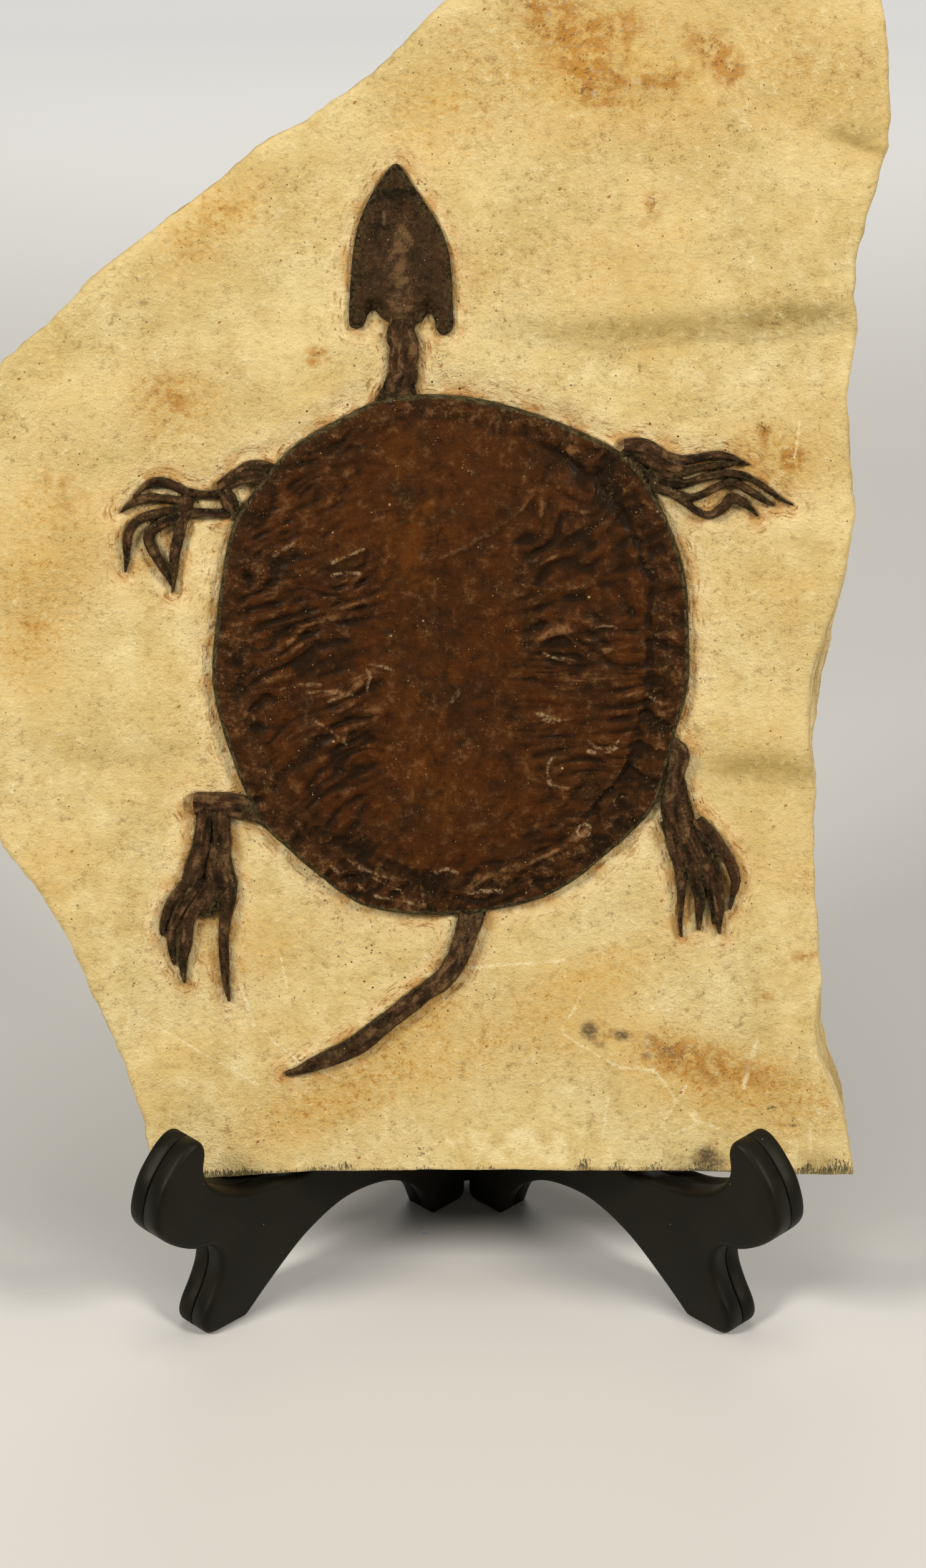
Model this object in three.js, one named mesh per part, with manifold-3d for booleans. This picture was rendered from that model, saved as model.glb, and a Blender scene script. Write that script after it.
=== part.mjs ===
// A fossil turtle in its limestone slab, standing on a folding plate easel.
// Millimetres, +Z up. The slab leans back, so the turtle faces -Y.
import * as THREE from 'three';
import { mergeVertices } from 'three/addons/utils/BufferGeometryUtils.js';
import Module from 'manifold-3d';

const wasm = await Module();
wasm.setup();

// ---------------------------------------------------------------- driving sizes
const GAP = 0.3; // left between pieces that touch

const LEAN = THREE.MathUtils.degToRad(15.5); // of the slab, back from upright
const SLAB_FOOT = { y: 20.2, z: 33.9 }; // front bottom edge of the slab
const SLAB_BACK = -9; // its back face; heights are counted outwards from the middle bed
const LOW_BED = -0.7; // face of the bed below the lower ledge
const HIGH_BED = 0.7; // face of the bed above the upper ledge

const SEAT = -1.3; // underside of the shell in its carved moat
const BONE_SEAT = -0.9; // underside of the other bones in their pockets
const POCKET_ROOM = 0.8; // how far a pocket stands off the bone in it

const LEAF_THICKNESS = 10;
const LEAF_ROUND = 1.0; // the flat that breaks a leaf's long edges
const HINGE = { x: -0.4, y: 64.2 }; // the line where the two leaves' inner faces meet
const LEAF_SPREAD = THREE.MathUtils.degToRad(45); // of each leaf from straight ahead

// ---------------------------------------------------------------- materials
const limestone = new THREE.MeshStandardMaterial({ color: 0xd9bf86, roughness: 0.9, metalness: 0 });
const darkBone = new THREE.MeshStandardMaterial({ color: 0x3a2a22, roughness: 0.45, metalness: 0 });
const shellBone = new THREE.MeshStandardMaterial({ color: 0x4a2a1a, roughness: 0.35, metalness: 0 });
const blackPlastic = new THREE.MeshStandardMaterial({ color: 0x1b1a17, roughness: 0.5, metalness: 0 });
const steel = new THREE.MeshStandardMaterial({ color: 0x8c8c88, roughness: 0.4, metalness: 1 });

// ---------------------------------------------------------------- solids
function toSolid(geometry) {
  const bare = new THREE.BufferGeometry();
  bare.setAttribute('position', geometry.getAttribute('position'));
  bare.setIndex(geometry.index);
  const merged = mergeVertices(bare, 1e-4);
  return new wasm.Manifold(
    new wasm.Mesh({
      numProp: 3,
      vertProperties: new Float32Array(merged.getAttribute('position').array),
      triVerts: new Uint32Array(merged.index.array),
    })
  );
}

function toGeometry(solid) {
  const mesh = solid.getMesh();
  const geometry = new THREE.BufferGeometry();
  geometry.setAttribute('position', new THREE.BufferAttribute(mesh.vertProperties.slice(), 3));
  geometry.setIndex(new THREE.BufferAttribute(mesh.triVerts.slice(), 1));
  geometry.computeVertexNormals();
  return geometry;
}

function piece(name, solid, material) {
  const mesh = new THREE.Mesh(toGeometry(solid), material);
  mesh.name = name;
  return mesh;
}

// A library shape with its seams closed.
function bareMesh(geometry) {
  geometry.deleteAttribute('normal');
  geometry.deleteAttribute('uv');
  return mergeVertices(geometry);
}

const joined = (solids) => solids.reduce((whole, next) => whole.add(next));

// Triangles of the wall that joins each ring of points to the next one.
function wall(rings) {
  const count = rings[0].length;
  const index = [];
  for (let r = 0; r + 1 < rings.length; r++) {
    for (let i = 0; i < count; i++) {
      const j = (i + 1) % count;
      const [a, b, c, d] = [r * count + i, r * count + j, (r + 1) * count + j, (r + 1) * count + i];
      index.push(a, b, c, a, c, d);
    }
  }
  return index;
}

function closed(rings, index) {
  const geometry = new THREE.BufferGeometry();
  const positions = rings.flat().flatMap((p) => [p.x, p.y, p.z]);
  geometry.setAttribute('position', new THREE.Float32BufferAttribute(positions, 3));
  geometry.setIndex(index);
  return geometry;
}

// Closed skin over level rings of equal point counts, from the lowest ring to the highest.
function skin(rings) {
  const count = rings[0].length;
  const index = wall(rings);
  const caps = [
    [0, true],
    [rings.length - 1, false],
  ];
  for (const [r, faceDown] of caps) {
    const contour = rings[r].map((p) => new THREE.Vector2(p.x, p.y));
    for (const [a, b, c] of THREE.ShapeUtils.triangulateShape(contour, [])) {
      const [i, j, k] = [a, b, c].map((n) => n + r * count);
      index.push(...(faceDown ? [k, j, i] : [i, j, k]));
    }
  }
  return closed(rings, index);
}

// Closed loft of convex sections that stand across a line.
function loft(rings) {
  const count = rings[0].length;
  const index = wall(rings);
  const last = (rings.length - 1) * count;
  for (let i = 1; i + 1 < count; i++) {
    index.push(0, i + 1, i, last, last + i, last + i + 1);
  }
  return closed(rings, index);
}

// The outline moved inwards by a distance (outwards where it is negative).
function inset(outline, distance) {
  const count = outline.length;
  return outline.map(([x, y], i) => {
    const [px, py] = outline[(i + count - 1) % count];
    const [nx, ny] = outline[(i + 1) % count];
    const before = new THREE.Vector2(x - px, y - py).normalize();
    const after = new THREE.Vector2(nx - x, ny - y).normalize();
    const along = before.add(after).normalize();
    const d = typeof distance === 'function' ? distance(x, y) : distance;
    return [x - along.y * d, y + along.x * d];
  });
}

const ringAt = (outline, height) => outline.map(([x, y]) => new THREE.Vector3(x, y, height));

// A sheet of stone: levels are [height, inset] pairs from back to front.
function sheet(outline, levels) {
  return toSolid(skin(levels.map(([height, distance]) => ringAt(inset(outline, distance), height))));
}

// A bone: a ridge along a smooth line. Stations are [x, y, half width, height].
function ridge(stations, steps, section, base = BONE_SEAT) {
  const line = new THREE.CatmullRomCurve3(stations.map(([x, y]) => new THREE.Vector3(x, y, 0)));
  const sizes = new THREE.CatmullRomCurve3(stations.map(([, , w, h]) => new THREE.Vector3(w, h, 0)));
  const rings = [];
  for (let i = 0; i <= steps; i++) {
    const t = i / steps;
    const centre = line.getPoint(t);
    const along = line.getTangent(t);
    const size = sizes.getPoint(t);
    rings.push(
      section.map(([across, up]) => {
        const side = across * size.x;
        const z = up < 0 ? base : up * size.y;
        return new THREE.Vector3(centre.x - along.y * side, centre.y + along.x * side, z);
      })
    );
  }
  return toSolid(loft(rings));
}

// Sections as [across, up]: a negative up is the seat.
const ROUND_BONE = [[-1, -1], [1, -1], [0.92, 0.45], [0.5, 0.88], [0, 1], [-0.5, 0.88], [-0.92, 0.45]];
const THIN_BONE = [[-1, -1], [1, -1], [0.75, 0.7], [0, 1], [-0.75, 0.7]];
const SLOT = [[-1, -1], [1, -1], [1, 1], [-1, 1]];

const CUT_TOP = 6; // how far every cutter reaches out of the slab

// The pocket that a bone lies in: the same line, wider and a little deeper.
function pocket(stations, steps) {
  const wide = stations.map(([x, y, w]) => [x, y, w + POCKET_ROOM, CUT_TOP]);
  const [first, second] = wide;
  const [last, beforeLast] = [wide[wide.length - 1], wide[wide.length - 2]];
  const lengthen = (end, inner) => {
    const out = new THREE.Vector2(end[0] - inner[0], end[1] - inner[1]).setLength(POCKET_ROOM);
    return [end[0] + out.x, end[1] + out.y, end[2], end[3]];
  };
  wide[0] = lengthen(first, second);
  wide[wide.length - 1] = lengthen(last, beforeLast);
  return ridge(wide, steps, SLOT, BONE_SEAT - GAP);
}

// ---------------------------------------------------------------- the slab
// Broken outline of the slab, counter-clockwise from its lower left corner.
const SLAB_OUTLINE = [
  [-71.1, 0.3], [-59.6, 0], [-34.8, 0.6], [0, 1], [34.8, 0.6], [57.6, 1], [73.5, 0.4], [86.5, 0.4],
  [85.3, 11.4], [84.1, 18.9], [81.7, 26.8], [79.3, 34.8], [78.3, 47.7], [77.3, 61.1], [76.3, 77.5],
  [76.7, 87.9], [76, 97.4], [77.4, 110.3], [79.1, 117.3], [80.5, 125.2], [82.5, 138.1], [83.9, 148.1],
  [82.4, 166], [81.9, 172.9], [83.5, 186.8], [83.5, 190.8], [82.8, 193.8], [83, 201.7], [85.3, 211.2],
  [89.1, 225.6], [89.3, 231.5], [88.6, 249.4], [86.5, 259.4], [80.5, 264.8], [67.6, 268.3], [49.7, 269.8],
  [29.8, 268.8], [13.9, 265.3], [2, 260.9], [-6.8, 255], [-13.6, 247.7], [-20.9, 241.1],
  [-33.6, 232.5], [-45.5, 225.6], [-52.4, 219.8], [-66.3, 209.9], [-81, 198.1], [-90.4, 189.2],
  [-100.4, 180.9], [-105.8, 173.9], [-108.8, 163], [-109.8, 147.1], [-110.3, 127.2], [-108.8, 107.3],
  [-106.8, 91.4], [-103, 74.1], [-96.4, 66.1], [-89.6, 54.7], [-83.8, 40.7], [-77.8, 26.5], [-73, 11.9],
];

// The two ledges run right across the slab, from its left edge to its right edge.
const LOWER_LEDGE = [[-130, 95.5], [-91, 93.5], [-60, 94.5], [-20, 96.5], [20, 95.5], [48, 94], [62, 92.6], [130, 92.4]];
const UPPER_LEDGE = [[-130, 189], [-70, 185], [-28, 187], [-2, 186.3], [10, 183.8], [24, 182.8], [40, 183.3], [60, 185],
  [84, 186.8], [130, 188.5]];
const LEDGE_SLOPE = 2.6; // width of a ledge's sloping riser
const BEYOND = 130; // off either side of the slab
const FAR_UP = 320;

// How far the front bed has flaked back from the slab's edge: hardly along its straight foot,
// most of all in two scars down its right side.
const FOOT_BAND = 4;
function flaked(x, y) {
  if (y < FOOT_BAND) return 0;
  if (x < 60) return 0.5;
  const upperScar = Math.exp(-(((y - 112) / 16) ** 2));
  const lowerScar = Math.exp(-(((y - 26) / 12) ** 2));
  return 0.5 + 1.7 * Math.max(upperScar, lowerScar);
}

// Shallow flakes lost from the back, where a bed let go: each is an outline and a depth.
const BACK_FLAKES = [
  { outline: [[-120, 210], [-60, 150], [-20, 168], [30, 140], [60, 175], [120, 160], [120, 300], [-120, 300]], depth: 0.9 },
  { outline: [[-120, -10], [-52, -10], [-40, 24], [-58, 60], [-84, 78], [-120, 60]], depth: 1.3 },
  { outline: [[40, -10], [100, -10], [100, 74], [62, 60], [48, 22]], depth: 1.0 },
];

// Chips out of the front edges: a wedge's centre, its half length and width, and its turn.
const CHIP_DEPTH = 2.2;
const CHIP_LEVEL = 0.6;
const EDGE_CHIPS = [
  { at: [-61.6, 213.2], size: [9, 2.2], turn: 35 },
  { at: [-23.9, 239], size: [7, 2.0], turn: 40 },
  { at: [83.7, 191.8], size: [5, 2.4], turn: 90 },
  { at: [-87.5, 50.7], size: [8, 2.0], turn: -62 },
  { at: [-103.4, 75.5], size: [7, 2.4], turn: -50 },
  { at: [19.9, 1], size: [11, 1.6], turn: 0 },
  { at: [-47.7, 0.5], size: [8, 1.4], turn: 0 },
  { at: [59.6, 269.3], size: [9, 2.2], turn: -5 },
];

function chip({ at: [x, y], size: [length, width], turn }) {
  const gem = new THREE.OctahedronGeometry(1, 1);
  gem.scale(length, width, CHIP_DEPTH);
  gem.rotateZ(THREE.MathUtils.degToRad(turn));
  gem.translate(x, y, CHIP_LEVEL);
  return toSolid(bareMesh(gem));
}

// ---------------------------------------------------------------- the turtle
// Points on the shell's edge, counter-clockwise from the nape, joined by a smooth curve.
const SHELL_CENTRE = [-4, 116.3];
const SHELL_EDGE = [
  [-16.9, 172.9], [-27, 168.7], [-38.1, 162.1], [-47, 152], [-51.3, 144.4], [-54, 130.9], [-55.6, 117.3],
  [-55.6, 110.3], [-54.1, 102.4], [-50.2, 90.4], [-45.6, 80.5], [-39.8, 74.5], [-32.8, 68.4], [-25.8, 63], [-18.4, 60.6],
  [-8.4, 59.6], [1, 60.1], [13.5, 62.6], [20.4, 65.6], [28.6, 71.8], [40.2, 83.4], [44.4, 98.1], [47.6, 110.3],
  [47.7, 121.2], [46.6, 135.4], [41.3, 149.5], [34.3, 159.6], [24, 165.6], [9.9, 170.7], [-3, 173.3],
];
const SHELL_SIDES = 66;
const PLATES = 22; // peripheral plates round the rim
const SHELL_RINGS = [0.985, 0.93, 0.87, 0.8, 0.71, 0.6, 0.48, 0.34, 0.14];
const RIM_INNER = 0.87; // where the rim plates end, as a share of the radius
const SHELL_EDGE_TOP = 1.3;
const SHELL_RISE = 2.9; // from the rim to the middle

function shellOutline(grow = 0, sides = SHELL_SIDES) {
  const curve = new THREE.CatmullRomCurve3(SHELL_EDGE.map(([x, y]) => new THREE.Vector3(x, y, 0)), true);
  const points = curve.getSpacedPoints(sides).slice(0, sides);
  return inset(points.map((p) => [p.x, p.y]), -grow);
}

// Height of the shell's face: a low dome, a lower rim, sutures and the crushed ribs' wrinkles.
function shellHeight(x, y, share, side) {
  const dome = SHELL_EDGE_TOP + SHELL_RISE * (1 - share ** 2.4);
  if (share > RIM_INNER - 0.01) {
    const suture = side % (SHELL_SIDES / PLATES) === 0 ? 0.45 : 0;
    return dome - suture - (share < RIM_INNER + 0.01 ? 0.35 : 0);
  }
  const [cx, cy] = SHELL_CENTRE;
  const slope = x < cx ? 0.34 : -0.04; // the left ribs climb towards the middle
  const wave = Math.sin(((y - cy - slope * (x - cx)) * 2 * Math.PI) / 10.5);
  const strength = 0.42 * THREE.MathUtils.smoothstep(Math.abs(x - cx) / 50, 0.12, 0.5);
  return dome + strength * wave;
}

function makeShell() {
  const outline = shellOutline();
  const [cx, cy] = SHELL_CENTRE;
  const rings = [ringAt(outline, SEAT), ringAt(outline, 0.5)];
  for (const share of SHELL_RINGS) {
    rings.push(
      outline.map(([ox, oy], side) => {
        const [x, y] = [cx + (ox - cx) * share, cy + (oy - cy) * share];
        return new THREE.Vector3(x, y, shellHeight(x, y, share, side));
      })
    );
  }
  return toSolid(skin(rings));
}

// The arrowhead skull, counter-clockwise from the snout.
const SKULL_CENTRE = [-14.5, 199.7];
const SKULL_OUTLINE = [
  [-15.2, 221.9], [-18.7, 218.9], [-21.1, 215.1], [-23.3, 210.4], [-24.6, 204.7], [-25.4, 197.8], [-25.8, 189.8],
  [-24.7, 187.4], [-22.8, 187.8], [-20.9, 191], [-18.3, 189.2], [-14.5, 188.5], [-10.7, 189], [-8.1, 191],
  [-6.9, 187], [-5.4, 186.5], [-3.6, 188], [-3.6, 197.8], [-4.2, 203.6], [-6.2, 208.7], [-9.5, 214.4],
  [-13.1, 219.6],
];

// The skull's roof as [share of the outline, height], from its seat to the crest.
const SKULL_LEVELS = [[1, BONE_SEAT], [1, 1.0], [0.93, 1.9], [0.74, 2.5], [0.5, 2.75], [0.22, 3.2]];
const ORBITS = [[-19.3, 211.9], [-11.7, 212.3]];
const ORBIT = { radius: 1.9, depth: 0.96, centre: 2.7 };
const SNOUT_GROOVE = [[-20.5, 214.8, 0.5, CUT_TOP], [-14.9, 216.2, 0.5, CUT_TOP], [-10.3, 215, 0.5, CUT_TOP]];
const GROOVE_FLOOR = 2.0;

function makeSkull() {
  const [cx, cy] = SKULL_CENTRE;
  const rings = SKULL_LEVELS.map(([share, height]) =>
    SKULL_OUTLINE.map(([x, y]) => new THREE.Vector3(cx + (x - cx) * share, cy + (y - cy) * share, height))
  );
  const bone = toSolid(skin(rings));
  const orbits = ORBITS.map(([x, y]) => {
    const ball = new THREE.SphereGeometry(ORBIT.radius, 10, 6);
    ball.scale(1, 1, ORBIT.depth / ORBIT.radius);
    ball.translate(x, y, ORBIT.centre);
    return toSolid(bareMesh(ball));
  });
  const snoutGroove = ridge(SNOUT_GROOVE, 4, SLOT, GROOVE_FLOOR);
  return [...orbits, snoutGroove].reduce((left, cut) => left.subtract(cut), bone);
}

// Bones as stations of [x, y, half width, height], grouped by limb.
const NECK = [
  [-15.1, 189.8, 2.0, 1.3], [-14.8, 186.4, 3.4, 1.9], [-14.9, 184.4, 2.2, 1.2], [-14.6, 182.2, 3.3, 1.9],
  [-14.7, 180.1, 2.3, 1.2], [-14.5, 177.9, 3.5, 1.9], [-14.5, 176.1, 2.6, 1.3], [-14.4, 171.9, 3.0, 1.7],
];
const TAIL = [
  [0.8, 61.1, 3.4, 2.2], [-0.3, 56.1, 3.2, 2.1], [-2.4, 51.5, 2.9, 2.0], [-5, 47.5, 2.6, 1.9],
  [-9, 43.4, 2.3, 1.8], [-12.4, 39.7, 2.0, 1.7], [-16.3, 36.1, 1.95, 1.6], [-21.1, 32.4, 1.9, 1.6],
  [-25.2, 29.6, 1.9, 1.5], [-29.8, 27.2, 1.6, 1.4], [-35.2, 25, 1.3, 1.2], [-40.7, 23, 0.5, 0.6],
];
const FRONT_LEFT = {
  thick: [
    [[-41.7, 156.2, 3.0, 2.1], [-46.7, 156.8, 3.1, 2.2], [-53.3, 153.8, 2.3, 1.8]],
    [[-54.1, 153, 1.6, 1.7], [-53, 150.6, 2.2, 1.8], [-51.6, 148.1, 1.6, 1.6]],
    [[-60.8, 151.6, 1.6, 1.6], [-62.8, 149.1, 2.0, 1.7], [-63.6, 146.7, 1.5, 1.5]],
  ],
  thin: [
    [[-53.7, 151.9, 1.0, 1.5], [-57.2, 151.4, 0.8, 1.3], [-61.1, 151.6, 1.0, 1.5]],
    [[-52, 147.9, 1.0, 1.5], [-55.6, 147.4, 0.8, 1.3], [-61.6, 147.8, 1.0, 1.5]],
    [[-60.7, 152.4, 0.8, 1.3], [-64, 154.3, 0.9, 1.3], [-67.2, 155.3, 0.9, 1.2], [-70.1, 153.3, 0.4, 0.8]],
    [[-61.6, 151, 0.9, 1.3], [-67.3, 151.6, 0.9, 1.3], [-71.4, 150.8, 0.9, 1.2], [-75.5, 148.1, 0.5, 0.8]],
    [[-62.2, 148.8, 0.9, 1.3], [-67.3, 149.1, 1.0, 1.3], [-71.9, 147.1, 1.0, 1.3], [-74.1, 141.1, 0.9, 1.2],
      [-74.4, 135.6, 0.3, 0.7]],
    [[-64.2, 147.2, 0.9, 1.3], [-68.5, 145.3, 1.1, 1.3], [-69.7, 142.6, 1.1, 1.3], [-68.2, 138.7, 0.9, 1.2],
      [-65, 132.8, 0.4, 0.8]],
    [[-61.7, 146.1, 0.9, 1.3], [-63.2, 141.5, 0.9, 1.3], [-63.8, 137.4, 0.8, 1.2], [-64.3, 132, 0.3, 0.7]],
  ],
};
const FRONT_RIGHT = {
  thick: [[[34.4, 159.6, 3.0, 1.8], [40.2, 157.2, 5.2, 2.3], [47.2, 154.4, 5.4, 1.6]]],
  thin: [
    [[43.7, 159.2, 1.3, 1.8], [53.3, 160.6, 1.0, 1.5], [60.6, 158.7, 0.5, 1.0]],
    [[44.2, 156.8, 1.4, 1.9], [52.7, 158.3, 1.3, 1.6], [58.8, 157, 1.3, 1.5], [64.6, 153.4, 1.1, 1.3],
      [73, 148.2, 0.3, 0.6]],
    [[44.7, 153.8, 1.3, 1.8], [53.9, 155.9, 1.1, 1.5], [59, 154.8, 1.2, 1.4], [66.6, 149.5, 0.5, 0.9]],
    [[46.2, 151.3, 1.2, 1.6], [52.2, 153, 1.0, 1.4], [56.9, 153.7, 1.2, 1.4], [62.7, 147.5, 0.4, 0.8]],
    [[43.2, 151.4, 1.6, 1.6], [49.7, 148, 1.3, 1.4], [53.7, 147.5, 1.2, 1.3], [56.9, 151.6, 1.1, 1.3]],
  ],
};
const HIND_LEFT = {
  thick: [
    [[-45.7, 83.5, 2.5, 2.0], [-52.7, 84.1, 3.1, 2.2], [-59, 83.9, 3.1, 2.0]],
    [[-58.6, 84.5, 1.7, 1.9], [-59.4, 76.5, 1.8, 1.9], [-60.4, 69.1, 2.3, 2.0], [-63.6, 61.6, 3.0, 2.0],
      [-65.8, 57, 2.4, 1.7]],
    [[-54.3, 83.5, 1.7, 1.9], [-54.7, 75.5, 1.7, 1.9], [-54.9, 68.6, 2.2, 2.0], [-53.7, 63.1, 2.5, 1.9],
      [-54.1, 56.6, 1.8, 1.7]],
    [[-57.6, 71.5, 2.6, 1.9], [-58.4, 65.6, 3.4, 1.8], [-61, 59.6, 2.6, 1.7]],
  ],
  thin: [
    [[-66.8, 57.1, 1.1, 1.4], [-66.3, 51.7, 1.0, 1.2], [-65.2, 48.3, 0.4, 0.8]],
    [[-61.9, 58.6, 1.6, 1.5], [-62.5, 51.7, 1.3, 1.4], [-63.2, 43.9, 0.4, 0.8]],
    [[-54.1, 58.1, 1.6, 1.6], [-53.9, 51.2, 1.4, 1.4], [-54.4, 44.7, 1.0, 1.2], [-53, 39.5, 0.3, 0.7]],
  ],
};
const HIND_RIGHT = {
  thick: [[[44.3, 98.2, 1.8, 1.6], [45.7, 94.4, 2.6, 2.1], [45, 87.4, 3.4, 2.3], [46.3, 80.5, 4.4, 2.0]]],
  thin: [
    [[42.9, 85.5, 2.0, 1.9], [44.3, 77.5, 1.7, 1.7], [46.7, 69.6, 1.3, 1.5], [46.9, 61.6, 1.1, 1.3], [47.2, 52.3, 0.3, 0.7]],
    [[45.2, 86.5, 2.2, 2.0], [48.2, 77.5, 2.1, 1.8], [50.3, 67.6, 1.8, 1.6], [50.7, 55.9, 1.1, 1.1]],
    [[46.7, 86.5, 2.2, 2.0], [51.5, 77.5, 2.2, 1.8], [54.1, 67.6, 2.0, 1.6], [54.7, 57.4, 1.2, 1.1]],
    [[47.3, 89.4, 1.6, 1.8], [52.1, 80, 1.7, 1.6], [57.2, 72.5, 1.6, 1.5], [58.8, 67.6, 1.2, 1.3], [58.2, 61, 0.4, 0.8]],
  ],
};

const THICK_STEPS = 4;

function makeLimb({ thick, thin }) {
  const bones = [
    ...thick.map((bone) => ridge(bone, THICK_STEPS, ROUND_BONE)),
    ...thin.map((bone) => ridge(bone, bone.length, THIN_BONE)),
  ];
  return joined(bones);
}

function limbPocket({ thick, thin }) {
  return joined([
    ...thick.map((bone) => pocket(bone, THICK_STEPS - 1)),
    ...thin.map((bone) => pocket(bone, bone.length - 1)),
  ]);
}

// ---------------------------------------------------------------- slab with its carving
const MOAT_FLOOR = SEAT - GAP;
const MOAT_WIDTH = 3.4; // prepared groove round the shell
const MOAT_SLOPE = 1.8;
const MOAT_SIDES = 40;
const SEAT_ROOM = 0.8; // kept round the shell where a limb crosses the moat

function makeSlab(pockets) {
  const stone = sheet(SLAB_OUTLINE, [
    [SLAB_BACK, 1.6],
    [SLAB_BACK + 1.4, 0.2],
    [SLAB_BACK + 4.2, 0],
    [LOW_BED - 0.6, flaked],
    [LOW_BED, (x, y) => flaked(x, y) + (y < FOOT_BAND ? 0.2 : 0.6)],
  ]);
  const frontEdge = (extra) => (x, y) => flaked(x, y) + extra;
  const beds = [
    [LOWER_LEDGE, LOW_BED - 0.5, 0, 0.7],
    [UPPER_LEDGE, -0.5, HIGH_BED, 1.1],
  ].map(([ledge, bottom, top, extra]) => {
    const trimmed = [[bottom, frontEdge(extra)], [top - 0.3, frontEdge(extra)], [top, frontEdge(extra + 0.5)]];
    return bedBlock(ledge, bottom, top).intersect(sheet(SLAB_OUTLINE, trimmed));
  });
  const moat = toSolid(
    skin([
      ringAt(shellOutline(MOAT_WIDTH, MOAT_SIDES), MOAT_FLOOR),
      ringAt(shellOutline(MOAT_WIDTH + MOAT_SLOPE * 4, MOAT_SIDES), MOAT_FLOOR + 4),
    ])
  );
  const rootBlocks = joined(pockets);
  const seatOutline = shellOutline(SEAT_ROOM, MOAT_SIDES);
  const seat = toSolid(skin([ringAt(seatOutline, MOAT_FLOOR), ringAt(seatOutline, CUT_TOP)]));
  const backFlakes = BACK_FLAKES.map(({ outline, depth }) =>
    toSolid(skin([ringAt(outline, SLAB_BACK - 5), ringAt(outline, SLAB_BACK + depth)]))
  );
  const cuts = [moat.subtract(rootBlocks), seat, ...pockets, ...backFlakes, ...EDGE_CHIPS.map(chip)];
  const carved = cuts.reduce((left, cut) => left.subtract(cut), joined([stone, ...beds]));
  return carved.decompose().sort((a, b) => b.volume() - a.volume())[0]; // without loose crumbs
}

// The block of one bed above its ledge, with a sloping riser.
function bedBlock(ledge, bottom, top) {
  const low = [...ledge, [BEYOND, FAR_UP], [-BEYOND, FAR_UP]];
  const high = low.map(([x, y]) => [x, y === FAR_UP ? y : y + LEDGE_SLOPE]);
  return toSolid(skin([ringAt(low, bottom), ringAt(high, top)]));
}

// ---------------------------------------------------------------- the easel
// The slab's lower back edge rests on the ledges at the leaves' outer faces, and its back
// leans on the uprights at the inner ones. All lines here are in a leaf's own plane: s from
// the hinge line forwards, z up.
const SLAB_HEEL = {
  y: SLAB_FOOT.y - SLAB_BACK * Math.cos(LEAN),
  z: SLAB_FOOT.z + SLAB_BACK * Math.sin(LEAN),
};
const alongInnerFace = (y) => (HINGE.y - y) / Math.cos(LEAF_SPREAD);
const alongOuterFace = (y) => alongInnerFace(y) + LEAF_THICKNESS * Math.tan(LEAF_SPREAD);
const LEDGE_RISE = 0.14; // of the ledge towards the hook
const ledge = (s) => SLAB_HEEL.z - GAP - (alongOuterFace(SLAB_HEEL.y) - s) * LEDGE_RISE;
const upright = (z) => alongInnerFace(SLAB_HEEL.y + (z - SLAB_HEEL.z) * Math.tan(LEAN)) - 1.4 * GAP;
const UPRIGHT_TOP = 126;
const LEDGE_BACK = upright(ledge(50)); // where ledge and upright meet

// Smooth stretch of the leaf's edge through a few points.
const bend = (points, steps) =>
  new THREE.SplineCurve(points.map(([s, z]) => new THREE.Vector2(s, z)))
    .getSpacedPoints(steps)
    .map(({ x, y }) => [x, y]);

// Edge of one leaf in its own plane: s from the hinge line forwards, z up.
function leafOutline() {
  const top = upright(UPRIGHT_TOP);
  return [
    [0, 2.2],
    [0.7, 0.7],
    [2.2, 0],
    ...bend([[10.6, 0], [12.8, 5.6], [16.8, 10.4], [23.4, 14.8], [31, 16.9], [40.7, 17], [51.9, 13], [62.4, 6],
      [69.4, 0]], 13),
    ...bend([[80.3, 0], [82.5, 1.6], [82.6, 4.4], [79.4, 10], [77.3, 14.5], [77, 18], [78.4, 22.2]], 7),
    ...bend([[80.4, 23.4], [84.6, 24.4], [90.4, 28.2], [94.3, 32.6], [94.5, 37], [92.6, 42.8], [89.4, 46.9], [84.8, 50.6],
      [81.3, 51]], 12),
    ...bend([[80, 47.8], [80.6, 43.4], [79.5, 39.7], [75.4, 35.7], [68.7, ledge(68.7) + 0.3], [62, ledge(62)]], 7),
    [LEDGE_BACK + 0.4, ledge(LEDGE_BACK)],
    [upright(ledge(LEDGE_BACK) + 1), ledge(LEDGE_BACK) + 1],
    ...bend([[top, UPRIGHT_TOP], [top - 1.6, UPRIGHT_TOP + 3], [3.4, UPRIGHT_TOP + 4], [0.8, UPRIGHT_TOP + 2.6],
      [0, UPRIGHT_TOP - 0.5]], 5),
  ];
}

const PIN_RADIUS = 1.5;
const PIN_END = 0.8; // shows past the first and last knuckles
const BARREL = { radius: 4.5, hole: 2.0, sides: 12, clearance: 0.4 };
BARREL.behind = BARREL.radius + 0.35; // its axis lies this far behind the leaf's rear edge
const KNUCKLE_LENGTH = 27.6;
const KNUCKLE_START = 3;
const KNUCKLES = 4; // they alternate between the two leaves
const knuckleStart = (n) => KNUCKLE_START + n * (KNUCKLE_LENGTH + BARREL.clearance);

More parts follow.
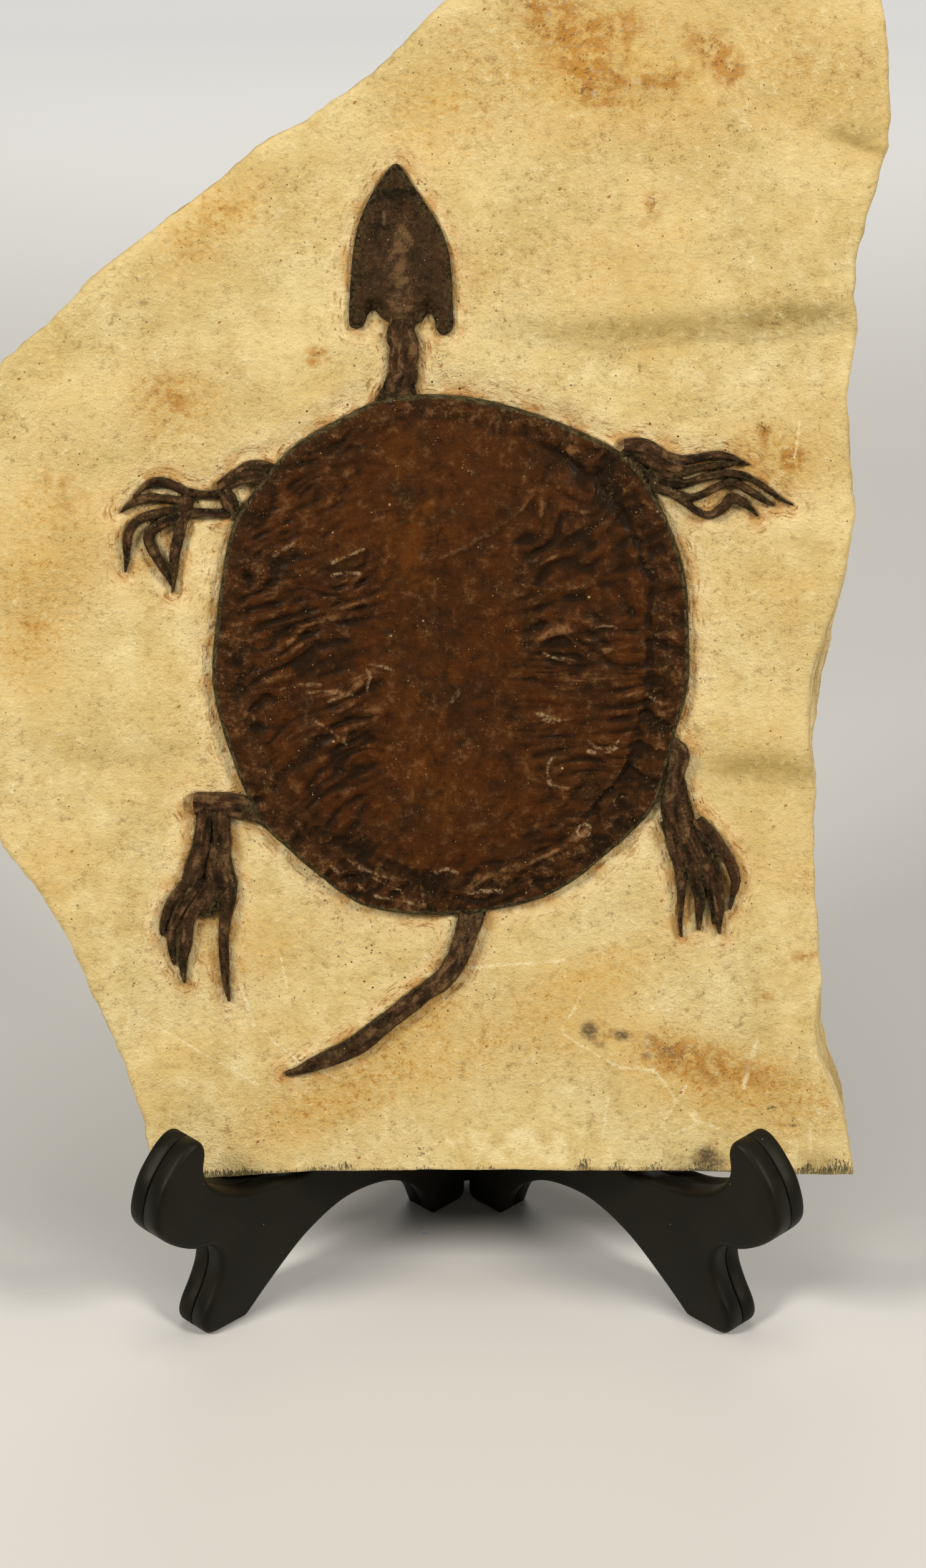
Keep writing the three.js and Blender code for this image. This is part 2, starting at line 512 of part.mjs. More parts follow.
// A knuckle about the hinge axis, joined to the rear edge of a leaf that lies at y -thickness..0.
function knuckle(n) {
  const rod = new THREE.CylinderGeometry(BARREL.radius, BARREL.radius, KNUCKLE_LENGTH, BARREL.sides);
  rod.rotateX(Math.PI / 2);
  const web = new THREE.BoxGeometry(BARREL.behind + 1, BARREL.radius * 1.4, KNUCKLE_LENGTH);
  web.translate((BARREL.behind + 1) / 2, 0, 0);
  const middle = knuckleStart(n) + KNUCKLE_LENGTH / 2;
  return toSolid(rod).add(toSolid(web)).translate([-BARREL.behind, -BARREL.behind, middle]);
}

function hingeHole() {
  const length = 2 * knuckleStart(KNUCKLES);
  const hole = new THREE.CylinderGeometry(BARREL.hole, BARREL.hole, length, BARREL.sides);
  hole.rotateX(Math.PI / 2);
  return toSolid(hole).translate([-BARREL.behind, -BARREL.behind, length / 2 - KNUCKLE_START]);
}

// A leaf is two mouldings that meet at a seam in the middle of its thickness. The left leaf
// has the first knuckle and the third, the right leaf the second and the fourth.
function makeLeaf(sideName) {
  const isLeft = sideName === 'left';
  const outline = leafOutline();
  const face = inset(outline, LEAF_ROUND);
  const board = skin([
    ringAt(face, 0),
    ringAt(outline, LEAF_ROUND),
    ringAt(outline, LEAF_THICKNESS - LEAF_ROUND),
    ringAt(face, LEAF_THICKNESS),
  ]);
  board.rotateX(Math.PI / 2);
  let leaf = toSolid(board);
  for (let n = isLeft ? 0 : 1; n < KNUCKLES; n += 2) leaf = leaf.add(knuckle(n));
  leaf = leaf.subtract(hingeHole());
  if (!isLeft) leaf = leaf.mirror([0, 1, 0]);

  const leafGroup = new THREE.Group();
  leafGroup.position.set(HINGE.x, HINGE.y, 0);
  leafGroup.rotation.z = -Math.PI / 2 + (isLeft ? -LEAF_SPREAD : LEAF_SPREAD);
  const outward = new THREE.Vector3(0, isLeft ? -1 : 1, 0);
  const seam = LEAF_THICKNESS / 2;
  const inner = leaf.trimByPlane(outward.clone().negate().toArray(), GAP / 2 - seam);
  const outer = leaf.trimByPlane(outward.toArray(), GAP / 2 + seam);
  leafGroup.add(piece(`stand_${sideName}_inner`, inner, blackPlastic));
  leafGroup.add(piece(`stand_${sideName}_outer`, outer, blackPlastic));
  return leafGroup;
}

function makeHingePin() {
  const [bottom, top] = [KNUCKLE_START - PIN_END, knuckleStart(KNUCKLES) - BARREL.clearance + PIN_END];
  const pin = new THREE.CylinderGeometry(PIN_RADIUS, PIN_RADIUS, top - bottom, 12);
  pin.rotateX(Math.PI / 2);
  const axisY = HINGE.y + BARREL.behind / Math.cos(LEAF_SPREAD);
  const middle = (bottom + top) / 2;
  return piece('hinge_pin', toSolid(pin).translate([HINGE.x, axisY, middle]), steel);
}

// ---------------------------------------------------------------- assembly
const bones = {
  neck: ridge(NECK, 16, ROUND_BONE),
  tail: ridge(TAIL, 22, ROUND_BONE),
  front_left_limb: makeLimb(FRONT_LEFT),
  front_right_limb: makeLimb(FRONT_RIGHT),
  hind_left_limb: makeLimb(HIND_LEFT),
  hind_right_limb: makeLimb(HIND_RIGHT),
};
const shellKeepOut = toSolid(skin([ringAt(shellOutline(GAP), -5), ringAt(shellOutline(GAP), CUT_TOP)]));
const skullRoom = (grow, floor) =>
  toSolid(skin([ringAt(inset(SKULL_OUTLINE, -grow), floor), ringAt(inset(SKULL_OUTLINE, -grow), CUT_TOP)]));

const pockets = [
  skullRoom(POCKET_ROOM, BONE_SEAT - GAP),
  pocket(NECK, 10),
  pocket(TAIL, 14),
  ...[FRONT_LEFT, FRONT_RIGHT, HIND_LEFT, HIND_RIGHT].map(limbPocket),
];

const slabGroup = new THREE.Group();
slabGroup.position.set(0, SLAB_FOOT.y, SLAB_FOOT.z);
slabGroup.rotation.x = Math.PI / 2 - LEAN;
slabGroup.add(piece('slab', makeSlab(pockets), limestone));
slabGroup.add(piece('shell', makeShell(), shellBone));
slabGroup.add(piece('skull', makeSkull(), darkBone));
for (const [name, bone] of Object.entries(bones)) {
  let trimmed = bone.subtract(shellKeepOut);
  if (name === 'neck') trimmed = trimmed.subtract(skullRoom(GAP, -5));
  slabGroup.add(piece(name, trimmed, darkBone));
}

const group = new THREE.Group();
group.add(slabGroup, makeLeaf('left'), makeLeaf('right'), makeHingePin());

// Stand the part on z = 0 with its bounding box centred on the Z axis.
group.updateMatrixWorld(true);
const bounds = new THREE.Box3().setFromObject(group, true);
const middle = bounds.getCenter(new THREE.Vector3());
group.position.set(-middle.x, -middle.y, -bounds.min.z);

export default group;
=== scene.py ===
# %% [markdown]
# # A fossil turtle on a folding easel
#
# The real object is a broken sheet of cream limestone with a small dark turtle standing in low
# relief on it. The sheet leans on a black plastic plate easel. Solid blocks for every piece are
# loaded first and hold the sizes; each piece is then remade here with the detail that the eye
# expects, in the same place.

import math

import bpy
import numpy as np
from mathutils import Matrix, Vector
from mathutils.geometry import delaunay_2d_cdt


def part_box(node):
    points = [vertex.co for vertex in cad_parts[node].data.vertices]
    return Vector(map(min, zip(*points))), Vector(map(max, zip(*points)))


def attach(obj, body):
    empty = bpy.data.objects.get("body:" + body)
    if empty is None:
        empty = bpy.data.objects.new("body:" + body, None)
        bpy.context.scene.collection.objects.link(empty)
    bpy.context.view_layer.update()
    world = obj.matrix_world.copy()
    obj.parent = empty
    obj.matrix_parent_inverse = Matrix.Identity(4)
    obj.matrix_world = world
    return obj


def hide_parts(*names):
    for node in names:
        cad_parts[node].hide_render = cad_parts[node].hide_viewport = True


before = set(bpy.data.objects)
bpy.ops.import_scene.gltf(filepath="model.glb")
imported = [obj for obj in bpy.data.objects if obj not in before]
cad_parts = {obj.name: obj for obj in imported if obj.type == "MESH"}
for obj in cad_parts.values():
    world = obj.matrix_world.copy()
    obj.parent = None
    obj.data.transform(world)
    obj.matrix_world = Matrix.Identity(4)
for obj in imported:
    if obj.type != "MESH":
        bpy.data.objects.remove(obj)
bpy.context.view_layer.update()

# %% [markdown]
# ## Two drawing boards
#
# The turtle and its stone are flat things that lean, so they are easiest to draw on the leaning
# sheet itself: x across, y up the slope, and a height out of the face, all in millimetres. One
# matrix then leans the whole drawing. The easel's two leaves get a board each in the same way.

# %% The leaning board of the slab
MM = 0.001
LEAN = math.radians(15.5)
SLAB_FOOT = Vector((0, 20.2, 33.9))
PIN_AXIS = Vector((-0.4, 71.059, 0))

pin_low, pin_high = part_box("hinge_pin")
pin_middle = (pin_low + pin_high) / 2
shift = Vector((pin_middle.x, pin_middle.y, 0)) - PIN_AXIS * MM
slab_board = Matrix.Translation(shift + SLAB_FOOT * MM) @ Matrix.Rotation(math.pi / 2 - LEAN, 4, "X")
print("drawing shift, mm:", [round(c / MM, 3) for c in shift])

# %% [markdown]
# ## Natural unevenness
#
# Stone and bone are never even. Value noise is the simplest recipe for that: random numbers on a
# grid with smooth blends between them. Adding finer and fainter copies gives a rough surface.
# Every call names its own seed, so each run gives the same stone.

# %% Noise on millimetre coordinates
LATTICE = 256


def lumps(x, y, size, seed):
    """Smooth random lumps about `size` mm across, from -1 to 1."""
    grid = np.random.default_rng(seed).random((LATTICE, LATTICE))
    gx, gy = np.asarray(x) / size, np.asarray(y) / size
    ix, iy = np.floor(gx).astype(int), np.floor(gy).astype(int)
    tx, ty = gx - ix, gy - iy
    tx, ty = tx * tx * (3 - 2 * tx), ty * ty * (3 - 2 * ty)

    def corner(i, j):
        return grid[(ix + i) % LATTICE, (iy + j) % LATTICE]

    low = corner(0, 0) * (1 - tx) + corner(1, 0) * tx
    high = corner(0, 1) * (1 - tx) + corner(1, 1) * tx
    return 2 * (low * (1 - ty) + high * ty) - 1


def rough(x, y, size, seed, layers=3):
    """Lumps with finer, fainter lumps on them."""
    total = sum(lumps(x, y, size / 2**n, seed + n) / 2**n for n in range(layers))
    return total / (2 - 2 ** (1 - layers))  # the layers' strengths add up to this


def ease(value, start, end):
    """0 before start, 1 after end and a soft ramp between."""
    t = np.clip((np.asarray(value, float) - start) / (end - start), 0, 1)
    return t * t * (3 - 2 * t)


print("roughness at three places:", rough(np.array([0.0, 5, 10]), np.zeros(3), 8, 1).round(3))

# %% [markdown]
# ## Measuring on the board
#
# Carving follows the bones: the moat runs round the shell, the pockets round the limbs. So the
# heights need two measurements for every point: is it inside an outline, and how far is it from
# a line. Smooth lines are drawn through a few points by the Catmull-Rom rule.

# %% Lines, distances and insides
FAR = 1e9
MOST_RELAXING = 60


def smooth_line(points, steps, closed=False):
    """A Catmull-Rom line through rows of numbers, with `steps` points for each stretch."""
    p = np.asarray(points, float)
    if closed:
        before, after, ahead = np.roll(p, 1, 0), np.roll(p, -1, 0), np.roll(p, -2, 0)
        here = p
    else:
        padded = np.vstack([2 * p[0] - p[1], p, 2 * p[-1] - p[-2]])
        before, here, after, ahead = padded[:-3], padded[1:-2], padded[2:-1], padded[3:]
    t = (np.arange(steps) / steps)[None, :, None]
    a, b, c, d = (q[:, None, :] for q in (before, here, after, ahead))
    line = 0.5 * (2 * b + (c - a) * t + (2 * a - 5 * b + 4 * c - d) * t**2 + (3 * b - a - 3 * c + d) * t**3)
    line = line.reshape(-1, p.shape[1])
    return line if closed else np.vstack([line, p[-1]])


def even_steps(points, step):
    """A closed line walked in equal steps."""
    p = np.vstack([points, points[:1]])
    along = np.concatenate([[0], np.cumsum(np.hypot(*np.diff(p, axis=0).T))])
    count = int(along[-1] / step)
    at = np.arange(count) * along[-1] / count
    return np.stack([np.interp(at, along, p[:, 0]), np.interp(at, along, p[:, 1])], 1)


def distance_to(line, x, y, closed=True):
    """How far each point is from a line of straight pieces."""
    best = np.full(np.shape(x), FAR)
    ends = np.roll(line, -1, 0) if closed else line[1:]
    for a, b in zip(line, ends):
        d = b - a
        t = np.clip(((x - a[0]) * d[0] + (y - a[1]) * d[1]) / max(d @ d, 1e-9), 0, 1)
        best = np.minimum(best, np.hypot(x - a[0] - t * d[0], y - a[1] - t * d[1]))
    return best


def inside(ring, x, y):
    """Whether each point is inside a ring: a ray from it crosses the ring an odd number of times."""
    odd = np.zeros(np.shape(x), bool)
    for (x0, y0), (x1, y1) in zip(ring, np.roll(ring, -1, 0)):
        if y0 != y1:
            odd ^= ((y0 > y) != (y1 > y)) & (x < x0 + (y - y0) / (y1 - y0) * (x1 - x0))
    return odd


def beyond(ring, x, y):
    """How far outside a ring each point is; negative inside."""
    return np.where(inside(ring, x, y), -1.0, 1.0) * distance_to(ring, x, y)


def inward(ring, amount):
    """The ring moved towards its inside, each point by its own amount."""
    along = np.roll(ring, -1, 0) - np.roll(ring, 1, 0)
    along /= np.hypot(along[:, 0], along[:, 1])[:, None]
    moved = ring + np.stack([-along[:, 1], along[:, 0]], 1) * np.broadcast_to(amount, len(ring))[:, None]
    edges = np.roll(ring, -1, 0) - ring
    # at sharp corners the moved line turns back on itself: let it relax there
    for _ in range(MOST_RELAXING):
        turned = np.sum((np.roll(moved, -1, 0) - moved) * edges, 1) < 0.15 * np.sum(edges * edges, 1)
        if not turned.any():
            break
        near_turn = turned | np.roll(turned, 1) | np.roll(turned, -1) | np.roll(turned, 2)
        mean = (np.roll(moved, 1, 0) + moved + np.roll(moved, -1, 0)) / 3
        moved = np.where(near_turn[:, None], mean, moved)
    return moved


square = np.array([[0.0, 0], [10, 0], [10, 10], [0, 10]])
print("points of a square line walked in steps of 3:", len(even_steps(square, 3)))

# %% [markdown]
# ## From drawing to mesh
#
# A relief is a face whose height changes from point to point, with a wall round it and a back.
# The face is scattered with points and joined up by Delaunay triangulation, which Blender has
# built in. It fills any outline with even triangles, where a square grid would leave stairs
# along the edge. The wall is a stack of rings.

# %% Fill an outline, stack rings, build the mesh
ROW_STEP = 0.87  # rows of even triangles lie this share of the spacing apart
DISORDER = 0.16


def scatter(ring, spacing, seed, keep=None):
    """Points in staggered rows inside a ring, a little disordered."""
    low, high = ring.min(0), ring.max(0)
    rows = np.arange(low[1], high[1], spacing * ROW_STEP)
    x, y = np.meshgrid(np.arange(low[0], high[0], spacing), rows)
    x = x + (np.arange(len(rows)) % 2)[:, None] * spacing / 2
    random = np.random.default_rng(seed)
    x = (x + random.uniform(-DISORDER, DISORDER, x.shape) * spacing).ravel()
    y = (y + random.uniform(-DISORDER, DISORDER, y.shape) * spacing).ravel()
    wanted = inside(ring, x, y)
    if keep is not None:
        wanted[wanted] = keep(x[wanted], y[wanted])
    x, y = x[wanted], y[wanted]
    clear = distance_to(ring, x, y) > spacing * 0.55
    return np.stack([x[clear], y[clear]], 1)


def fill(ring, points):
    """Triangles over a ring and the points inside it, numbered ring first."""
    flat = [Vector(p) for p in np.vstack([ring, points])]
    found, _, triangles, *_ = delaunay_2d_cdt(flat, [], [list(range(len(ring)))], 1, 1e-7, False)
    assert len(found) == len(flat), "two points fell together"
    triangles = np.array(triangles)
    # the hollows of the ring are filled too; only triangles with all corners on the ring can lie there
    on_ring = (triangles < len(ring)).all(1)
    x, y = np.array([p[:] for p in flat])[triangles].mean(1).T
    on_ring[on_ring] = ~inside(ring, x[on_ring], y[on_ring])
    return triangles[~on_ring]


def stack(rings):
    """Quads between rings of equal counts, from the first ring to the last."""
    count, quads = len(rings[0]), []
    i = np.arange(count)
    j = (i + 1) % count
    for r in range(len(rings) - 1):
        quads.append(np.stack([r * count + i, r * count + j, (r + 1) * count + j, (r + 1) * count + i], 1))
    return np.vstack(quads)


def placed(name, data):
    """A new object in the scene."""
    thing = bpy.data.objects.new(name, data)
    bpy.context.scene.collection.objects.link(thing)
    return thing


def drawn(name, points, faces, finish, measures):
    """A smooth object, in metres, with its measures kept on its points."""
    mesh = bpy.data.meshes.new(name)
    mesh.from_pydata(points.tolist(), [], [list(map(int, face)) for face in faces])
    mesh.validate()
    for key, values in measures.items():
        mesh.attributes.new(key, "FLOAT", "POINT").data.foreach_set("value", np.asarray(values, np.float32))
    mesh.materials.append(finish)
    for polygon in mesh.polygons:
        polygon.use_smooth = True
    return placed(name, mesh)


def piece(name, points, faces, board, finish, slot, nodes, **measures):
    """A named piece drawn in mm on its board, standing for CAD nodes."""
    thing = drawn(name, points * MM, faces, finish, measures)
    thing.matrix_world = board
    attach(thing, "root")
    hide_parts(*nodes)
    print(f"{name}: {sum(len(p.vertices) - 2 for p in thing.data.polygons)} triangles")


# %% [markdown]
# ## Writing materials as sums
#
# Node trees get long, and a long tree is hard to read as boxes and wires. Here a small class
# wraps a node's output, so that `1 - mask * 0.5` adds the Math nodes by itself. One method adds
# any other kind of node.

# %% A socket that can be calculated with
def paint(*shown):
    """A colour from 0-255 numbers as a screen shows them, turned into amounts of light."""
    return tuple(c / 3294.6 if c <= 10 else ((c / 255 + 0.055) / 1.055) ** 2.4 for c in shown)


class Value:
    """A node's output. Sums with it add Math nodes."""

    def __init__(self, finish, socket):
        self.finish, self.socket = finish, socket

    def math(self, operation, *others):
        return self.finish.node("Math", {"operation": operation}, dict(enumerate((self, *others))))

    def __add__(self, other):
        return self.math("ADD", other)

    def __radd__(self, other):
        return self.math("ADD", other)

    def __sub__(self, other):
        return self.math("SUBTRACT", other)

    def __rsub__(self, other):
        return self.finish.node("Math", {"operation": "SUBTRACT"}, {0: other, 1: self})

    def __mul__(self, other):
        return self.math("MULTIPLY", other)

    def __rmul__(self, other):
        return self.math("MULTIPLY", other)

    def __truediv__(self, other):
        return self.math("DIVIDE", other)

    def ramp(self, start, end):
        """0 below start, 1 above end, soft between; start may be above end."""
        sockets = {"Value": self, "From Min": start, "From Max": end}
        return self.finish.node("MapRange", {"interpolation_type": "SMOOTHSTEP"}, sockets)


class Finish:
    """A material whose look is written as expressions."""

    def __init__(self, name, **uniform):
        self.material = bpy.data.materials.new(name)
        self.material.use_nodes = True
        self.tree = self.material.node_tree
        self.shader = self.tree.nodes["Principled BSDF"]
        for socket, value in uniform.items():
            self.shader.inputs[socket.replace("_", " ")].default_value = value

    def node(self, kind, settings=None, sockets=None, output=0):
        """Adds a node: its settings first, then the values or links of its sockets."""
        made = self.tree.nodes.new("ShaderNode" + kind)
        for key, value in (settings or {}).items():
            setattr(made, key, value)
        for key, value in (sockets or {}).items():
            if isinstance(value, Value):
                self.tree.links.new(value.socket, made.inputs[key])
            else:
                made.inputs[key].default_value = value
        return Value(self, made.outputs[output])

    def place(self):
        """Where a point is on its board, in mm, as a vector."""
        here = self.node("TexCoord", output="Object")
        return self.node("VectorMath", {"operation": "SCALE"}, {0: here, "Scale": 1 / MM})

    def stretched(self, place, across, along, out, turn=0.0):
        """Coordinates for a pattern that is stretched along a turned direction."""
        turned = self.node("VectorRotate", {"rotation_type": "Z_AXIS"}, {"Vector": place, "Angle": -turn})
        return self.node("VectorMath", {"operation": "DIVIDE"}, {0: turned, 1: (along, across, out)})

    def cloud(self, place, size, detail=3.0, roughness=0.55, distortion=0.0):
        """Noise from 0 to 1 with lumps about `size` mm across."""
        sockets = {"Vector": place, "Scale": 1 / size, "Detail": detail, "Roughness": roughness}
        return self.node("TexNoise", None, {**sockets, "Distortion": distortion})

    def grains(self, place, size, share, radius):
        """Small round specks: only a share of the cells holds one."""
        from_middle = self.node("TexVoronoi", None, {"Vector": place, "Scale": 1 / size}, "Distance")
        spot = from_middle.ramp(radius, radius * 0.45)
        cell_colour = Value(self, from_middle.socket.node.outputs["Color"])
        chance = self.node("SeparateColor", None, {0: cell_colour}, "Red")
        return spot * chance.ramp(1 - share, 1 - share + 0.02)

    def line_distance(self, place, start, end):
        """Distance in mm from a straight line between two places on the board."""
        def vector(operation, a, b, output=0):
            return self.node("VectorMath", {"operation": operation}, {0: a, 1: b}, output)

        way = Vector((*end, 0)) - Vector((*start, 0))
        flat = vector("MULTIPLY", place, (1, 1, 0))
        off = vector("SUBTRACT", flat, (*start, 0))
        reached = vector("DOT_PRODUCT", off, way, 1)
        settings = {"operation": "DIVIDE", "use_clamp": True}
        along = self.node("Math", settings, {0: reached, 1: way.length_squared})
        foot = self.node("VectorMath", {"operation": "SCALE"}, {0: tuple(way), "Scale": along})
        return vector("DISTANCE", off, foot, 1)

    def measure(self, name):
        return self.node("Attribute", {"attribute_name": name}, output="Fac")

    def mix(self, first, second, share):
        """Colours mixed by a share."""
        first, second = ((*c, 1) if isinstance(c, tuple) else c for c in (first, second))
        settings = {"data_type": "RGBA", "clamp_factor": True}
        return self.node("Mix", settings, {0: share, 6: first, 7: second}, 2)

    def finish(self, colour, roughness, height, depth, coat=None):
        """Wires the look to the shader. Height is in mm where depth is 1."""
        bump = self.node("Bump", None, {"Height": height, "Distance": depth * MM, "Strength": 1.0}, "Normal")
        wires = {"Base Color": colour, "Roughness": roughness, "Normal": bump, "Coat Weight": coat}
        for key, value in wires.items():
            if isinstance(value, Value):
                self.tree.links.new(value.socket, self.shader.inputs[key])
        return self.material


trial = Finish("trial")
half_grey = 1 - trial.cloud(trial.place(), 5) * 0.5
print("a short sum makes", len(trial.tree.nodes) - 2, "nodes and ends in", half_grey.socket.node.operation)
bpy.data.materials.remove(trial.material)

# %% [markdown]
# ## The turtle's plan
#
# Everything is drawn from a few smooth lines: the shell's edge, the skull's edge, and a centre
# line for every bone with its half width and height at each station. The stone needs these lines
# too, because it was scraped away round each bone.

# %% Outlines and bones, in mm on the slab's board
SHELL_EDGE = [
    [-16.9, 172.9], [-27, 168.7], [-38.1, 162.1], [-47, 152], [-51.3, 144.4], [-54, 130.9],
    [-55.6, 117.3], [-55.6, 110.3], [-54.1, 102.4], [-50.2, 90.4], [-45.6, 80.5], [-39.8, 74.5],
    [-32.8, 68.4], [-25.8, 63], [-18.4, 60.6], [-8.4, 59.6], [1, 60.1], [13.5, 62.6], [20.4, 65.6],
    [28.6, 71.8], [40.2, 83.4], [44.4, 98.1], [47.6, 110.3], [47.7, 121.2], [46.6, 135.4], [41.3, 149.5],
    [34.3, 159.6], [24, 165.6], [9.9, 170.7], [-3, 173.3],
]
SKULL_EDGE = [
    [-15.4, 222], [-19, 218.2], [-21.4, 214.2], [-23.1, 210.4], [-24.2, 206.4], [-24.9, 201.6],
    [-25.3, 196.4], [-25.6, 191.2], [-25.5, 188.2], [-24.2, 187.4], [-22.6, 188], [-21.4, 190.6],
    [-20.2, 191.2], [-18.4, 189.6], [-16.4, 188.4], [-12.6, 188.4], [-10.2, 188.8], [-8.6, 190.8],
    [-7.5, 189.6], [-6.8, 187], [-5.3, 186.1], [-3.5, 187.6], [-3.5, 193], [-3.7, 198.6], [-4.5, 204.2],
    [-6.3, 208.9], [-8.9, 213.2], [-12, 217.6],
]
